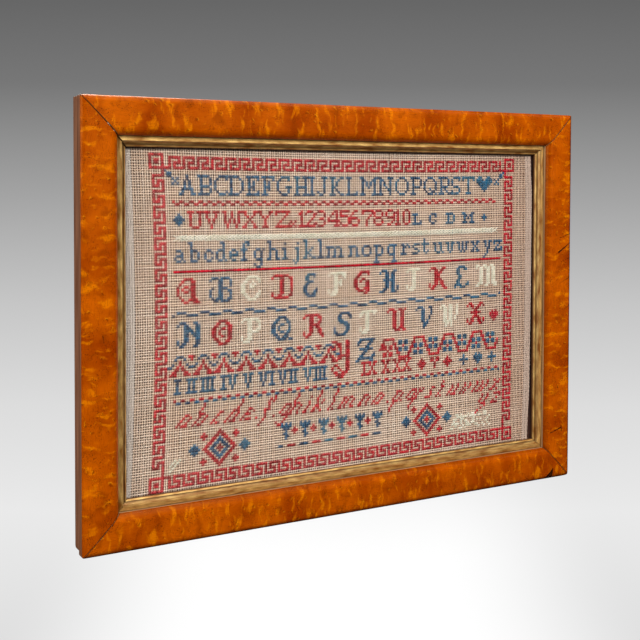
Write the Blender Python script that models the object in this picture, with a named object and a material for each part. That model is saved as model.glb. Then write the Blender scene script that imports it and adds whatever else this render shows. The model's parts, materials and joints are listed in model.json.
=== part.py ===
"""A cross stitch sampler on open canvas, fitted in a veneered wooden frame with a gilt slip.

Metres, +Z up. The front looks along -Y, and +X is to the viewer's right. The origin lies on the
back of the top rail, at mid width, where the frame hangs flat against a wall.
Profiles are drawn as (inward, forward): inward from the frame's outer edge, forward off the wall.
"""

import math

import bmesh
import bpy

MM = 0.001

# Frame as a whole
FRAME_WIDTH = 600 * MM
FRAME_HEIGHT = 433 * MM
FIT_GAP = 0.3 * MM
MITRE_GAP = 0.35 * MM

# Wooden rail
RAIL_WIDTH = 36.8 * MM
RAIL_SIDE = 22.4 * MM
RAIL_CROWN = 25.2 * MM
RAIL_INNER_EDGE = 19.2 * MM
OUTER_SHOULDER = 7.0 * MM
INNER_SHOULDER = 8.0 * MM
SHOULDER_STEPS = 6
CROWN_STEPS = 4
BACK_HALF_DEPTH = 11.8 * MM
BACK_HALF_SET_IN = 0.5 * MM
JOINT_GROOVE = 1.1 * MM
REBATE_FROM_OUTSIDE = 31.0 * MM
LIP_UNDERSIDE = 15.5 * MM

# Gilt slip
SIGHT_INSET = 47.2 * MM
SLIP_BACK = 9.5 * MM
SLIP_BEVEL_FOOT = 16.1 * MM
SLIP_RIDGE = 17.8 * MM
SLIP_RIDGE_FROM_RAIL = 4.2 * MM
SLIP_RIDGE_WIDTH = 0.5 * MM
SLIP_FILLET_WIDTH = 1.9 * MM
SLIP_FILLET_TOP = 13.5 * MM
SLIP_SIGHT_ARRIS = 12.0 * MM
SLIP_QUIRK = 0.5 * MM
COVE_STEPS = 5

# Corner wear: radius at the front and at the back of each corner
CORNERS = {
    "bottom_left": (2.2 * MM, 8.5 * MM),
    "bottom_right": (5.5 * MM, 5.5 * MM),
    "top_right": (2.4 * MM, 2.4 * MM),
    "top_left": (1.8 * MM, 3.2 * MM),
}
CORNER_STEPS = 6
GUIDE_SLACK = 0.25 * MM

# Canvas
CLOTH_THICKNESS = 1.2 * MM
CLOTH_TUCK = 10.0 * MM
CLOTH_LEFT_TUCK = 12.0 * MM
CLOTH_COLUMNS = 34
CLOTH_ROWS = 24
CLOTH_WAVE = 0.45 * MM
# How far the canvas stops short of the slip on the right: (share of the way down, gap)
RIGHT_EDGE = (
    (0.00, 2.8 * MM),
    (0.15, 0.5 * MM),
    (0.45, 0.8 * MM),
    (0.78, 1.6 * MM),
    (1.00, 4.4 * MM),
)

# Backing board
BOARD_THICKNESS = 3.0 * MM
BOARD_BEVEL = 0.4 * MM

# Places worked out from the sizes above
TOP = REBATE_FROM_OUTSIDE / 2
BOTTOM = TOP - FRAME_HEIGHT
HALF_WIDTH = FRAME_WIDTH / 2
SIGHT_HALF_WIDTH = HALF_WIDTH - SIGHT_INSET
SIGHT_TOP = TOP - SIGHT_INSET
SIGHT_BOTTOM = BOTTOM + SIGHT_INSET
CLOTH_FRONT = SLIP_BACK - FIT_GAP
BOARD_FRONT = CLOTH_FRONT - CLOTH_THICKNESS - FIT_GAP


def clear_scene():
    for item in list(bpy.data.objects):
        bpy.data.objects.remove(item, do_unlink=True)


def make_material(name, colour, roughness, metallic=0.0):
    material = bpy.data.materials.new(name)
    material.use_nodes = True
    shader = material.node_tree.nodes["Principled BSDF"]
    shader.inputs["Base Color"].default_value = (*colour, 1.0)
    shader.inputs["Roughness"].default_value = roughness
    shader.inputs["Metallic"].default_value = metallic
    return material


def add_object(name, mesh, material=None):
    item = bpy.data.objects.new(name, mesh)
    bpy.context.scene.collection.objects.link(item)
    if material is not None:
        mesh.materials.append(material)
    return item


def curve_points(start, control, end, steps):
    """Points of a bend from start to end that leans towards control."""
    points = []
    for step in range(steps + 1):
        t = step / steps
        weights = ((1 - t) ** 2, 2 * t * (1 - t), t**2)
        points.append(
            tuple(
                sum(w * p[axis] for w, p in zip(weights, (start, control, end)))
                for axis in range(2)
            )
        )
    return points


def rail_profile():
    """A cushion front on a straight side, with a joint groove and a rebate behind."""
    crown_start = (OUTER_SHOULDER, RAIL_CROWN - 0.2 * MM)
    crown_end = (RAIL_WIDTH - INNER_SHOULDER, RAIL_CROWN - 0.3 * MM)
    crown_control = (RAIL_WIDTH / 2, RAIL_CROWN + 0.3 * MM)
    outer = curve_points(
        (0, RAIL_SIDE), (0.28 * OUTER_SHOULDER, RAIL_CROWN - 0.3 * MM), crown_start, SHOULDER_STEPS
    )
    crown = curve_points(crown_start, crown_control, crown_end, CROWN_STEPS)
    inner = curve_points(
        crown_end,
        (RAIL_WIDTH - 0.32 * INNER_SHOULDER, RAIL_CROWN - 1.1 * MM),
        (RAIL_WIDTH, RAIL_INNER_EDGE),
        SHOULDER_STEPS,
    )
    side = [
        (BACK_HALF_SET_IN, 0),
        (BACK_HALF_SET_IN, BACK_HALF_DEPTH),
        (JOINT_GROOVE, BACK_HALF_DEPTH + 0.5 * MM),
        (0, BACK_HALF_DEPTH + 1.0 * MM),
    ]
    rebate = [
        (RAIL_WIDTH, LIP_UNDERSIDE),
        (REBATE_FROM_OUTSIDE, LIP_UNDERSIDE),
        (REBATE_FROM_OUTSIDE, 0),
    ]
    return side + outer + crown[1:] + inner[1:] + rebate


def slip_profile():
    """A flange under the rail's lip, an outward bevel, a ridge, a cove and a sight fillet."""
    foot = RAIL_WIDTH + FIT_GAP
    ridge = RAIL_WIDTH + SLIP_RIDGE_FROM_RAIL
    fillet = SIGHT_INSET - SLIP_FILLET_WIDTH
    ridge_end = (ridge + SLIP_RIDGE_WIDTH, SLIP_RIDGE)
    cove_end = (fillet - 0.1 * MM, SLIP_FILLET_TOP - SLIP_QUIRK)
    cove_control = (ridge_end[0] + 0.6 * MM, cove_end[1] + 0.9 * MM)
    outside = REBATE_FROM_OUTSIDE + FIT_GAP
    flange = [
        (outside, SLIP_BACK),
        (outside, LIP_UNDERSIDE - FIT_GAP),
        (foot, LIP_UNDERSIDE - FIT_GAP),
        (foot, SLIP_BEVEL_FOOT),
        (ridge, SLIP_RIDGE),
    ]
    cove = curve_points(ridge_end, cove_control, cove_end, COVE_STEPS)
    sight = [
        (fillet, SLIP_FILLET_TOP),
        (SIGHT_INSET - 0.3 * MM, SLIP_SIGHT_ARRIS + 0.1 * MM),
        (SIGHT_INSET, SLIP_SIGHT_ARRIS - 0.2 * MM),
        (SIGHT_INSET, SLIP_BACK),
    ]
    return flange + cove + sight


def strip_point(side, inward, forward, end):
    """A profile point at one mitred end of a strip on the named side of the frame."""
    pull_back = MITRE_GAP / math.sqrt(2)
    across = end * (HALF_WIDTH - inward - pull_back)
    low = BOTTOM + inward + pull_back
    high = TOP - inward - pull_back
    if side == "top":
        return (across, -forward, TOP - inward)
    if side == "bottom":
        return (across, -forward, BOTTOM + inward)
    upright = high if end > 0 else low
    if side == "left":
        return (-HALF_WIDTH + inward, -forward, upright)
    return (HALF_WIDTH - inward, -forward, upright)


def mitred_strip(name, side, profile, material):
    """One straight length of moulding, with both ends cut at 45 degrees."""
    shape = bmesh.new()
    ends = []
    for end in (-1, 1):
        ends.append([shape.verts.new(strip_point(side, u, v, end)) for u, v in profile])
    count = len(profile)
    for index in range(count):
        after = (index + 1) % count
        shape.faces.new((ends[0][index], ends[0][after], ends[1][after], ends[1][index]))
    shape.faces.new(ends[0])
    shape.faces.new(ends[1])
    bmesh.ops.recalc_face_normals(shape, faces=shape.faces)
    mesh = bpy.data.meshes.new(name)
    shape.to_mesh(mesh)
    shape.free()
    mesh.shade_smooth()
    mesh.set_sharp_from_angle(angle=math.radians(28))
    return add_object(name, mesh, material)


def worn_outline(use_back):
    """The frame's outer outline, rounded at each corner by that corner's own wear."""
    signs = {
        "bottom_left": (-1, -1, 180),
        "bottom_right": (1, -1, 270),
        "top_right": (1, 1, 0),
        "top_left": (-1, 1, 90),
    }
    points = []
    for corner, (sx, sz, first_angle) in signs.items():
        radius = CORNERS[corner][1 if use_back else 0]
        edge_x = sx * (HALF_WIDTH + GUIDE_SLACK)
        edge_z = TOP + GUIDE_SLACK if sz > 0 else BOTTOM - GUIDE_SLACK
        centre = (edge_x - sx * radius, edge_z - sz * radius)
        for step in range(CORNER_STEPS + 1):
            angle = math.radians(first_angle + 90 * step / CORNER_STEPS)
            points.append(
                (centre[0] + radius * math.cos(angle), centre[1] + radius * math.sin(angle))
            )
    return points


def corner_guide():
    """A block that the rails are trimmed to, so that their corners are worn round."""
    levels = (
        (-1 * MM, True),
        (BACK_HALF_DEPTH, True),
        (BACK_HALF_DEPTH + 1.0 * MM, False),
        (RAIL_CROWN + 1 * MM, False),
    )
    shape = bmesh.new()
    rings = []
    for forward, use_back in levels:
        rings.append([shape.verts.new((x, -forward, z)) for x, z in worn_outline(use_back)])
    for lower, upper in zip(rings, rings[1:]):
        for index in range(len(lower)):
            after = (index + 1) % len(lower)
            shape.faces.new((lower[index], lower[after], upper[after], upper[index]))
    shape.faces.new(rings[0])
    shape.faces.new(rings[-1])
    bmesh.ops.recalc_face_normals(shape, faces=shape.faces)
    mesh = bpy.data.meshes.new("corner_guide")
    shape.to_mesh(mesh)
    shape.free()
    guide = add_object("corner_guide", mesh)
    guide.hide_render = True
    guide.display_type = "WIRE"
    return guide


def right_edge_gap(share_down):
    """How far the canvas stops short of the slip, eased between the rows of RIGHT_EDGE."""
    for (above, gap_above), (below, gap_below) in zip(RIGHT_EDGE, RIGHT_EDGE[1:]):
        if share_down <= below:
            t = (share_down - above) / (below - above)
            ease = t * t * (3 - 2 * t)
            return gap_above + (gap_below - gap_above) * ease
    return RIGHT_EDGE[-1][1]


def cloth_lift(across, down):
    """How far the canvas cockles forward, from shares of its width and height."""
    fade = math.sin(math.pi * across) * math.sin(math.pi * down)
    rows = 0.5 + 0.5 * math.sin(2 * math.pi * (3.2 * down + 0.35 * math.sin(5 * across)))
    columns = 0.5 + 0.5 * math.sin(2 * math.pi * (2.3 * across + 0.2 * down))
    return CLOTH_WAVE * fade * (0.6 * rows + 0.4 * columns)


def make_cloth(material):
    """The canvas: one thin sheet, tucked under the slip on three sides."""
    left = -SIGHT_HALF_WIDTH - CLOTH_LEFT_TUCK
    high = SIGHT_TOP + CLOTH_TUCK
    low = SIGHT_BOTTOM - CLOTH_TUCK
    shape = bmesh.new()
    grid = []
    for row in range(CLOTH_ROWS + 1):
        down = row / CLOTH_ROWS
        z = high + (low - high) * down
        seen = (SIGHT_TOP - z) / (SIGHT_TOP - SIGHT_BOTTOM)
        right = SIGHT_HALF_WIDTH - right_edge_gap(min(max(seen, 0.0), 1.0))
        line = []
        for column in range(CLOTH_COLUMNS + 1):
            across = column / CLOTH_COLUMNS
            x = left + (right - left) * across
            line.append(shape.verts.new((x, -CLOTH_FRONT - cloth_lift(across, down), z)))
        grid.append(line)
    for upper, lower in zip(grid, grid[1:]):
        for column in range(CLOTH_COLUMNS):
            shape.faces.new(
                (upper[column], lower[column], lower[column + 1], upper[column + 1])
            )
    mesh = bpy.data.meshes.new("sampler_cloth")
    shape.to_mesh(mesh)
    shape.free()
    mesh.shade_smooth()
    mesh.set_sharp_from_angle(angle=math.radians(40))
    cloth = add_object("sampler_cloth", mesh, material)
    solidify = cloth.modifiers.new("thickness", "SOLIDIFY")
    solidify.thickness = CLOTH_THICKNESS
    solidify.offset = -1.0
    return cloth


def make_board(material):
    """The plain backing board that closes the rebate behind the canvas."""
    half_width = HALF_WIDTH - REBATE_FROM_OUTSIDE - FIT_GAP
    half_height = FRAME_HEIGHT / 2 - REBATE_FROM_OUTSIDE - FIT_GAP
    shape = bmesh.new()
    bmesh.ops.create_cube(shape, size=1.0)
    bmesh.ops.scale(shape, verts=shape.verts, vec=(2 * half_width, BOARD_THICKNESS, 2 * half_height))
    middle = (0, -BOARD_FRONT + BOARD_THICKNESS / 2, (TOP + BOTTOM) / 2)
    bmesh.ops.translate(shape, verts=shape.verts, vec=middle)
    mesh = bpy.data.meshes.new("backing_board")
    shape.to_mesh(mesh)
    shape.free()
    board = add_object("backing_board", mesh, material)
    bevel = board.modifiers.new("eased edges", "BEVEL")
    bevel.width = BOARD_BEVEL
    bevel.segments = 2
    return board


clear_scene()
maple = make_material("varnished_maple", (0.50, 0.14, 0.01), 0.32)
gilt = make_material("worn_gilt", (0.75, 0.56, 0.27), 0.38, 0.85)
canvas = make_material("sampler_canvas", (0.70, 0.52, 0.38), 0.9)
board_wood = make_material("backing_board_wood", (0.16, 0.07, 0.04), 0.8)

guide = corner_guide()
for side in ("top", "bottom", "left", "right"):
    rail = mitred_strip(f"rail_{side}", side, rail_profile(), maple)
    trim = rail.modifiers.new("worn corners", "BOOLEAN")
    trim.operation = "INTERSECT"
    trim.solver = "EXACT"
    trim.object = guide
    mitred_strip(f"slip_{side}", side, slip_profile(), gilt)
make_cloth(canvas)
make_board(board_wood)
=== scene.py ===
"""Looks of a framed cross stitch sampler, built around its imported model.

Metres, +Z up. The front looks along -Y, and +X is to the viewer's right. The origin lies on the
back of the top rail, at mid width. Mouldings are drawn as (inward, forward): inward from the
frame's outer edge, forward off the wall. Stitches are counted in squares of the canvas.
"""

import json
import math
import random

import bmesh
import bpy
import numpy as np
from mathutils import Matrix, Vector, noise

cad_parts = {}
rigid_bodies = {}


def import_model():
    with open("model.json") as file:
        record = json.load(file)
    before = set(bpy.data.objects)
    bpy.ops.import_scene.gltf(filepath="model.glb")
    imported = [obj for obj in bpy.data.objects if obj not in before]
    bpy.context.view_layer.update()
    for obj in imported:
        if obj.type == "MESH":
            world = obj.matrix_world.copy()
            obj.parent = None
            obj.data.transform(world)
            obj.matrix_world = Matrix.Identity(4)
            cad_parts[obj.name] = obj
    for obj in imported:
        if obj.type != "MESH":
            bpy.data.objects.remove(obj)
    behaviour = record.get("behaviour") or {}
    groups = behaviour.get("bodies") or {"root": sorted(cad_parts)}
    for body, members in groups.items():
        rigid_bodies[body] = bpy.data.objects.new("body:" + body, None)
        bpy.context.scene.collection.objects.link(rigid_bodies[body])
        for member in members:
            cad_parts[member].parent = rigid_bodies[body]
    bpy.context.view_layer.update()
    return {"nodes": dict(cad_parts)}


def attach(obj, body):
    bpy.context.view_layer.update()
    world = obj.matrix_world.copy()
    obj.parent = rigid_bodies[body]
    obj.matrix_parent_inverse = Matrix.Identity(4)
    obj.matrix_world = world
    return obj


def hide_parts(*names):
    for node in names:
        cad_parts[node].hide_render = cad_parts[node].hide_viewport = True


for item in list(bpy.data.objects):
    bpy.data.objects.remove(item, do_unlink=True)
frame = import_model()

# Wooden rails
# Four mitred lengths of cushion-shaped softwood moulding, veneered on the front with bird's-eye
# maple under an amber varnish. The straight sides are stained brown, with the joint line of the
# two halves of the moulding halfway back, and the back is bare wood.
MM = 0.001
FRAME_WIDTH = 600 * MM
FRAME_HEIGHT = 433 * MM
HALF_WIDTH = FRAME_WIDTH / 2
REBATE_FROM_OUTSIDE = 31.0 * MM
TOP = REBATE_FROM_OUTSIDE / 2
BOTTOM = TOP - FRAME_HEIGHT
MIDDLE_Z = (TOP + BOTTOM) / 2
FIT_GAP = 0.3 * MM
RAIL_WIDTH = 36.8 * MM
RAIL_SIDE = 22.4 * MM
RAIL_CROWN = 25.2 * MM
RAIL_INNER_EDGE = 19.2 * MM
OUTER_SHOULDER = 7.0 * MM
INNER_SHOULDER = 8.0 * MM
BACK_HALF_DEPTH = 11.8 * MM
BACK_HALF_SET_IN = 0.5 * MM
JOINT_GROOVE = 1.1 * MM
LIP_UNDERSIDE = 15.5 * MM
# Radius of each worn corner at the front and at the back
CORNERS = {
    (-1, -1): (2.2 * MM, 8.5 * MM),
    (1, -1): (5.5 * MM, 5.5 * MM),
    (1, 1): (2.4 * MM, 2.4 * MM),
    (-1, 1): (1.8 * MM, 3.2 * MM),
}
# How far the joint at each corner has opened: at the outer edge and at the inner edge
MITRES = {
    (-1, -1): (0.35 * MM, 0.5 * MM),
    (1, -1): (0.35 * MM, 0.5 * MM),
    (1, 1): (0.35 * MM, 0.6 * MM),
    (-1, 1): (0.35 * MM, 1.5 * MM),
}


# Where each rail's grain starts, so that no two rails are cut from the same stretch of veneer
GRAIN_STARTS = {"top": 3.0, "bottom": 11.0, "left": 19.0, "right": 27.0}
# Painted shade on each rail's outer arris, darkest on the rails that face away from the light
ARRIS_SHADE = {"top": 0.35, "bottom": 0.9, "left": 0.05, "right": 0.9}


def srgb(code):
    """An sRGB hex colour as linear red, green, blue and alpha."""
    channels = [int(code[start : start + 2], 16) / 255 for start in (0, 2, 4)]
    return (*[c / 12.92 if c <= 0.04045 else ((c + 0.055) / 1.055) ** 2.4 for c in channels], 1.0)


def add_node(tree, kind, inputs=None, **settings):
    """Adds one node: its settings, then its inputs, each a plain value or another node's output."""
    node = tree.nodes.new(kind)
    for name, value in settings.items():
        setattr(node, name, value)
    for key, value in (inputs or {}).items():
        if isinstance(value, bpy.types.NodeSocket):
            tree.links.new(value, node.inputs[key])
        else:
            node.inputs[key].default_value = value
    return node


def new_object(name, mesh):
    """An object at the origin that shows a mesh."""
    piece = bpy.data.objects.new(name, mesh)
    bpy.context.scene.collection.objects.link(piece)
    return piece


def new_material(name):
    """An empty procedural material, with its tree and its shader."""
    material = bpy.data.materials.new(name)
    material.use_nodes = True
    tree = material.node_tree
    shader = tree.nodes["Principled BSDF"]
    return material, tree, shader


def bend(start, control, end, steps):
    """Profile points of a curve from start to end that leans towards control."""
    points = []
    for step in range(steps + 1):
        t = step / steps
        weights = ((1 - t) ** 2, 2 * t * (1 - t), t * t)
        points.append(
            tuple(sum(w * p[k] for w, p in zip(weights, (start, control, end))) for k in (0, 1))
        )
    return points


def rail_profile():
    """Profile of a rail, and for each stretch after a point whether it is side, front or back."""
    crown_start = (OUTER_SHOULDER, RAIL_CROWN - 0.2 * MM)
    crown_end = (RAIL_WIDTH - INNER_SHOULDER, RAIL_CROWN - 0.3 * MM)
    side = [
        (BACK_HALF_SET_IN, 0),
        (BACK_HALF_SET_IN, BACK_HALF_DEPTH * 0.5),
        (BACK_HALF_SET_IN, BACK_HALF_DEPTH - 0.4 * MM),
        (BACK_HALF_SET_IN + 0.15 * MM, BACK_HALF_DEPTH),
        (JOINT_GROOVE, BACK_HALF_DEPTH + 0.35 * MM),
        (JOINT_GROOVE, BACK_HALF_DEPTH + 0.65 * MM),
        (0.15 * MM, BACK_HALF_DEPTH + 1.0 * MM),
        (0, BACK_HALF_DEPTH + 1.4 * MM),
        (0, BACK_HALF_DEPTH + 5.5 * MM),
    ]
    outer_control = (0.28 * OUTER_SHOULDER, RAIL_CROWN - 0.3 * MM)
    inner_control = (RAIL_WIDTH - 0.32 * INNER_SHOULDER, RAIL_CROWN - 1.1 * MM)
    front = bend((0, RAIL_SIDE), outer_control, crown_start, 10)
    front += bend(crown_start, (RAIL_WIDTH / 2, RAIL_CROWN + 0.3 * MM), crown_end, 8)[1:]
    front += bend(crown_end, inner_control, (RAIL_WIDTH, RAIL_INNER_EDGE), 10)[1:]
    rebate = [
        (RAIL_WIDTH, LIP_UNDERSIDE),
        (REBATE_FROM_OUTSIDE, LIP_UNDERSIDE),
        (REBATE_FROM_OUTSIDE, 0),
    ]
    zones = ["side"] * len(side) + ["front"] * (len(front) - 1) + ["back"] * (len(rebate) + 1)
    return side + front + rebate, zones


def worn_corner(x, z, forward):
    """Pulls a point outside a worn corner of the frame back to its rounded outline."""
    corner = (1 if x > 0 else -1, 1 if z > MIDDLE_Z else -1)
    front_radius, back_radius = CORNERS[corner]
    radius = back_radius if forward < BACK_HALF_DEPTH + 0.5 * MM else front_radius
    centre_x = corner[0] * (HALF_WIDTH - radius)
    centre_z = (TOP if corner[1] > 0 else BOTTOM) - corner[1] * radius
    off_x = (x - centre_x) * corner[0]
    off_z = (z - centre_z) * corner[1]
    distance = math.hypot(off_x, off_z)
    if off_x <= 0 or off_z <= 0 or distance <= radius:
        return x, z
    pull = radius / distance
    return centre_x + corner[0] * off_x * pull, centre_z + corner[1] * off_z * pull


def side_point(side, inward, forward, share, widest):
    """Where a profile point lies, a share of the way along the named side of the frame."""
    ends = []
    for end in (-1, 1):
        corner = {"top": (end, 1), "bottom": (end, -1), "left": (-1, end), "right": (1, end)}[side]
        outer_gap, inner_gap = MITRES[corner]
        gap = outer_gap + (inner_gap - outer_gap) * min(inward / widest, 1.0)
        half = HALF_WIDTH if side in ("top", "bottom") else FRAME_HEIGHT / 2
        ends.append(end * (half - inward - gap / math.sqrt(2)))
    along = ends[0] + (ends[1] - ends[0]) * share
    if side == "top":
        return along, TOP - inward
    if side == "bottom":
        return along, BOTTOM + inward
    if side == "left":
        return -HALF_WIDTH + inward, MIDDLE_Z + along
    return HALF_WIDTH - inward, MIDDLE_Z + along


def moulding(name, side, profile, zones, materials, stations, wear):
    """One mitred length of moulding, with UVs in metres: along the grain, and round the profile."""
    count = len(profile)
    widest = RAIL_WIDTH
    rounds = [0.0]
    for here, after in zip(profile, profile[1:] + profile[:1]):
        rounds.append(rounds[-1] + math.hypot(after[0] - here[0], after[1] - here[1]))
    seed = GRAIN_STARTS[side]
    points = []
    uvs = []
    to_end = []
    for share in stations:
        for index, (inward, forward) in enumerate(profile):
            x, z = side_point(side, inward, forward, share, widest)
            along = x if side in ("top", "bottom") else z - MIDDLE_Z
            # Wear in soft hollows, about 11 mm long and 6 mm round the profile
            if forward > BACK_HALF_DEPTH + 1.2 * MM:
                at = Vector((along * 90, rounds[index] * 160, seed))
                forward += wear * noise.noise(at)
            x, z = worn_corner(x, z, forward)
            points.append((x, -forward, z))
            uvs.append((along + seed, rounds[index]))
            half = HALF_WIDTH if side in ("top", "bottom") else FRAME_HEIGHT / 2
            to_end.append(half - inward - abs(along))
    faces = []
    face_zone = []
    corner_uvs = []
    for step in range(len(stations) - 1):
        for index in range(count):
            after = (index + 1) % count
            low = step * count
            high = low + count
            ring = (low + index, high + index, high + after, low + after)
            if side in ("top", "right"):
                ring = ring[::-1]
            faces.append(ring)
            face_zone.append(zones[index])
            for vertex in ring:
                u, v = uvs[vertex]
                if vertex % count == 0 and index == count - 1:
                    v = rounds[-1]
                corner_uvs.append((u, v))
    for ring in (range(count), range((len(stations) - 1) * count, len(stations) * count)):
        faces.append(tuple(ring))
        face_zone.append("back")
        corner_uvs += [uvs[vertex] for vertex in ring]
    mesh = bpy.data.meshes.new(name)
    mesh.from_pydata(points, [], faces)
    layer = mesh.uv_layers.new(name="grain")
    layer.data.foreach_set("uv", np.array(corner_uvs, dtype=np.float32).ravel())
    ends = mesh.attributes.new("to_mitre", "FLOAT", "POINT")
    ends.data.foreach_set("value", np.array(to_end, dtype=np.float32))
    # Painted shade: how dark the outer arris is on this rail
    grime = mesh.attributes.new("arris_shade", "FLOAT", "POINT")
    grime.data.foreach_set("value", np.full(len(points), ARRIS_SHADE[side], dtype=np.float32))
    for zone_material in materials.values():
        mesh.materials.append(zone_material)
    order = list(materials)
    for polygon, zone in zip(mesh.polygons, face_zone):
        polygon.material_index = order.index(zone) if zone in order else 0
    return new_object(name, mesh)


def face_outwards(mesh):
    """Turns every face of a closed mesh outwards."""
    shape = bmesh.new()
    shape.from_mesh(mesh)
    bmesh.ops.recalc_face_normals(shape, faces=shape.faces)
    shape.to_mesh(mesh)
    shape.free()


# Bird's-eye maple veneer, sliced, glued down and French polished: deep amber, with pale curly blotches across
# the grain, small swirled eyes with a painted highlight on one side and painted shade on the other, fine
# flecks and dark pits.
maple, tree, shader = new_material("birdseye_maple_veneer")
uv = add_node(tree, "ShaderNodeUVMap", uv_map="grain").outputs["UV"]
wander = add_node(tree, "ShaderNodeTexNoise", {"Vector": uv, "Scale": 70.0, "Detail": 2.0})
wander_off = add_node(
    tree,
    "ShaderNodeVectorMath",
    {0: wander.outputs["Color"], 1: (0.5, 0.5, 0.5)},
    operation="SUBTRACT",
)
wander_by = add_node(
    tree, "ShaderNodeVectorMath", {0: wander_off.outputs[0], "Scale": 0.011}, operation="SCALE"
)
grain = add_node(
    tree, "ShaderNodeVectorMath", {0: uv, 1: wander_by.outputs[0]}, operation="ADD"
).outputs[0]
# Each pattern's size, in repeats a metre along the rail and round it: clouds of colour 35 mm
# long, curl 6 by 20 mm across the grain, darker curl, flecks 9 by 0.9 mm, and pits 0.7 mm across
patterns = {}
for name, size, detail in (
    ("clouds", (28.0, 16.0, 1.0), 3.0),
    ("curl", (150.0, 48.0, 1.0), 5.0),
    ("dark curl", (90.0, 55.0, 7.0), 4.0),
    ("flecks", (110.0, 1100.0, 1.0), 4.0),
    ("pits", (1100.0, 1400.0, 1.0), 1.0),
    ("pit clusters", (60.0, 90.0, 3.0), 2.0),
):
    scaled = add_node(tree, "ShaderNodeVectorMath", {0: grain, 1: size}, operation="MULTIPLY")
    shifted = add_node(
        tree,
        "ShaderNodeVectorMath",
        {0: scaled.outputs[0], 1: (0.0, 0.0, size[2])},
        operation="ADD",
    )
    patterns[name] = add_node(
        tree, "ShaderNodeTexNoise", {"Vector": shifted.outputs[0], "Scale": 1.0, "Detail": detail}
    ).outputs[0]
# Eyes 1.5 to 2.5 mm across, with twirled outlines, in some of the cells of a 9 mm scatter
twirl = add_node(tree, "ShaderNodeTexNoise", {"Vector": uv, "Scale": 420.0, "Detail": 1.0})
twirl_off = add_node(
    tree,
    "ShaderNodeVectorMath",
    {0: twirl.outputs["Color"], 1: (0.0032, 0.0032, 0.0), 2: grain},
    operation="MULTIPLY_ADD",
)
eye_at = add_node(
    tree, "ShaderNodeVectorMath", {0: twirl_off.outputs[0], "Scale": 115.0}, operation="SCALE"
).outputs[0]
eyes = add_node(
    tree, "ShaderNodeTexVoronoi", {"Vector": eye_at, "Scale": 1.0}, voronoi_dimensions="2D"
)
eye_pick = add_node(tree, "ShaderNodeSeparateColor", {0: eyes.outputs["Color"]})
has_eye = add_node(
    tree, "ShaderNodeMapRange", {0: eye_pick.outputs[0], 1: 0.6, 2: 0.95}
).outputs[0]
masks = {}
for name, source, start, end, most in (
    ("curl", patterns["curl"], 0.52, 0.68, 1.0),
    ("dark curl", patterns["dark curl"], 0.52, 0.72, 0.6),
    ("flecks", patterns["flecks"], 0.45, 0.75, 0.5),
    ("pits", patterns["pits"], 0.61, 0.67, 1.0),
    ("pit clusters", patterns["pit clusters"], 0.44, 0.56, 1.0),
    ("eye swell", eyes.outputs["Distance"], 0.26, 0.08, 1.0),
    ("eye heart", eyes.outputs["Distance"], 0.11, 0.03, 1.0),
):
    masks[name] = add_node(
        tree,
        "ShaderNodeMapRange",
        {0: source, 1: start, 2: end, 3: 0.0, 4: most},
        interpolation_type="SMOOTHSTEP",
    ).outputs[0]
for name, left, right in (
    ("swell", "eye swell", None),
    ("heart", "eye heart", None),
    ("pit", "pits", "pit clusters"),
):
    masks[name] = add_node(
        tree,
        "ShaderNodeMath",
        {0: masks[left], 1: masks[right] if right else has_eye},
        operation="MULTIPLY",
    ).outputs[0]
# Each eye is a small swirl, with a painted highlight on one side and painted shade on the other
eye_off = add_node(
    tree, "ShaderNodeVectorMath", {0: eye_at, 1: eyes.outputs["Position"]}, operation="SUBTRACT"
)
eye_side = add_node(
    tree,
    "ShaderNodeVectorMath",
    {0: eye_off.outputs[0], 1: (0.8, -0.6, 0.0)},
    operation="DOT_PRODUCT",
)
for name, start, end in (("painted eye highlight", -0.03, 0.12), ("painted eye shade", 0.0, -0.12)):
    half = add_node(
        tree, "ShaderNodeMapRange", {0: eye_side.outputs["Value"], 1: start, 2: end}
    ).outputs[0]
    masks[name] = add_node(
        tree, "ShaderNodeMath", {0: masks["swell"], 1: half}, operation="MULTIPLY"
    ).outputs[0]
around = add_node(tree, "ShaderNodeSeparateXYZ", {0: uv}).outputs["Y"]
# Painted shade on the inner shoulder, where the rail drops down to the slip
masks["inner edge shade"] = add_node(
    tree, "ShaderNodeMapRange", {0: around, 1: 55.5 * MM, 2: 62.5 * MM, 3: 0.0, 4: 0.6}
).outputs[0]
# Painted shade along the outer arris, its strength set for each rail
arris = add_node(
    tree, "ShaderNodeMapRange", {0: around, 1: 28.5 * MM, 2: 23.8 * MM, 3: 0.0, 4: 1.0}
).outputs[0]
arris_shade = add_node(tree, "ShaderNodeAttribute", attribute_name="arris_shade").outputs["Fac"]
masks["outer edge"] = add_node(
    tree, "ShaderNodeMath", {0: arris, 1: arris_shade}, operation="MULTIPLY"
).outputs[0]
# Grime that has gathered in the mitred joints, about 1 mm wide
to_mitre = add_node(tree, "ShaderNodeAttribute", attribute_name="to_mitre").outputs["Fac"]
masks["mitre grime"] = add_node(
    tree, "ShaderNodeMapRange", {0: to_mitre, 1: 1.3 * MM, 2: 0.25 * MM, 3: 0.0, 4: 0.85}
).outputs[0]
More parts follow.
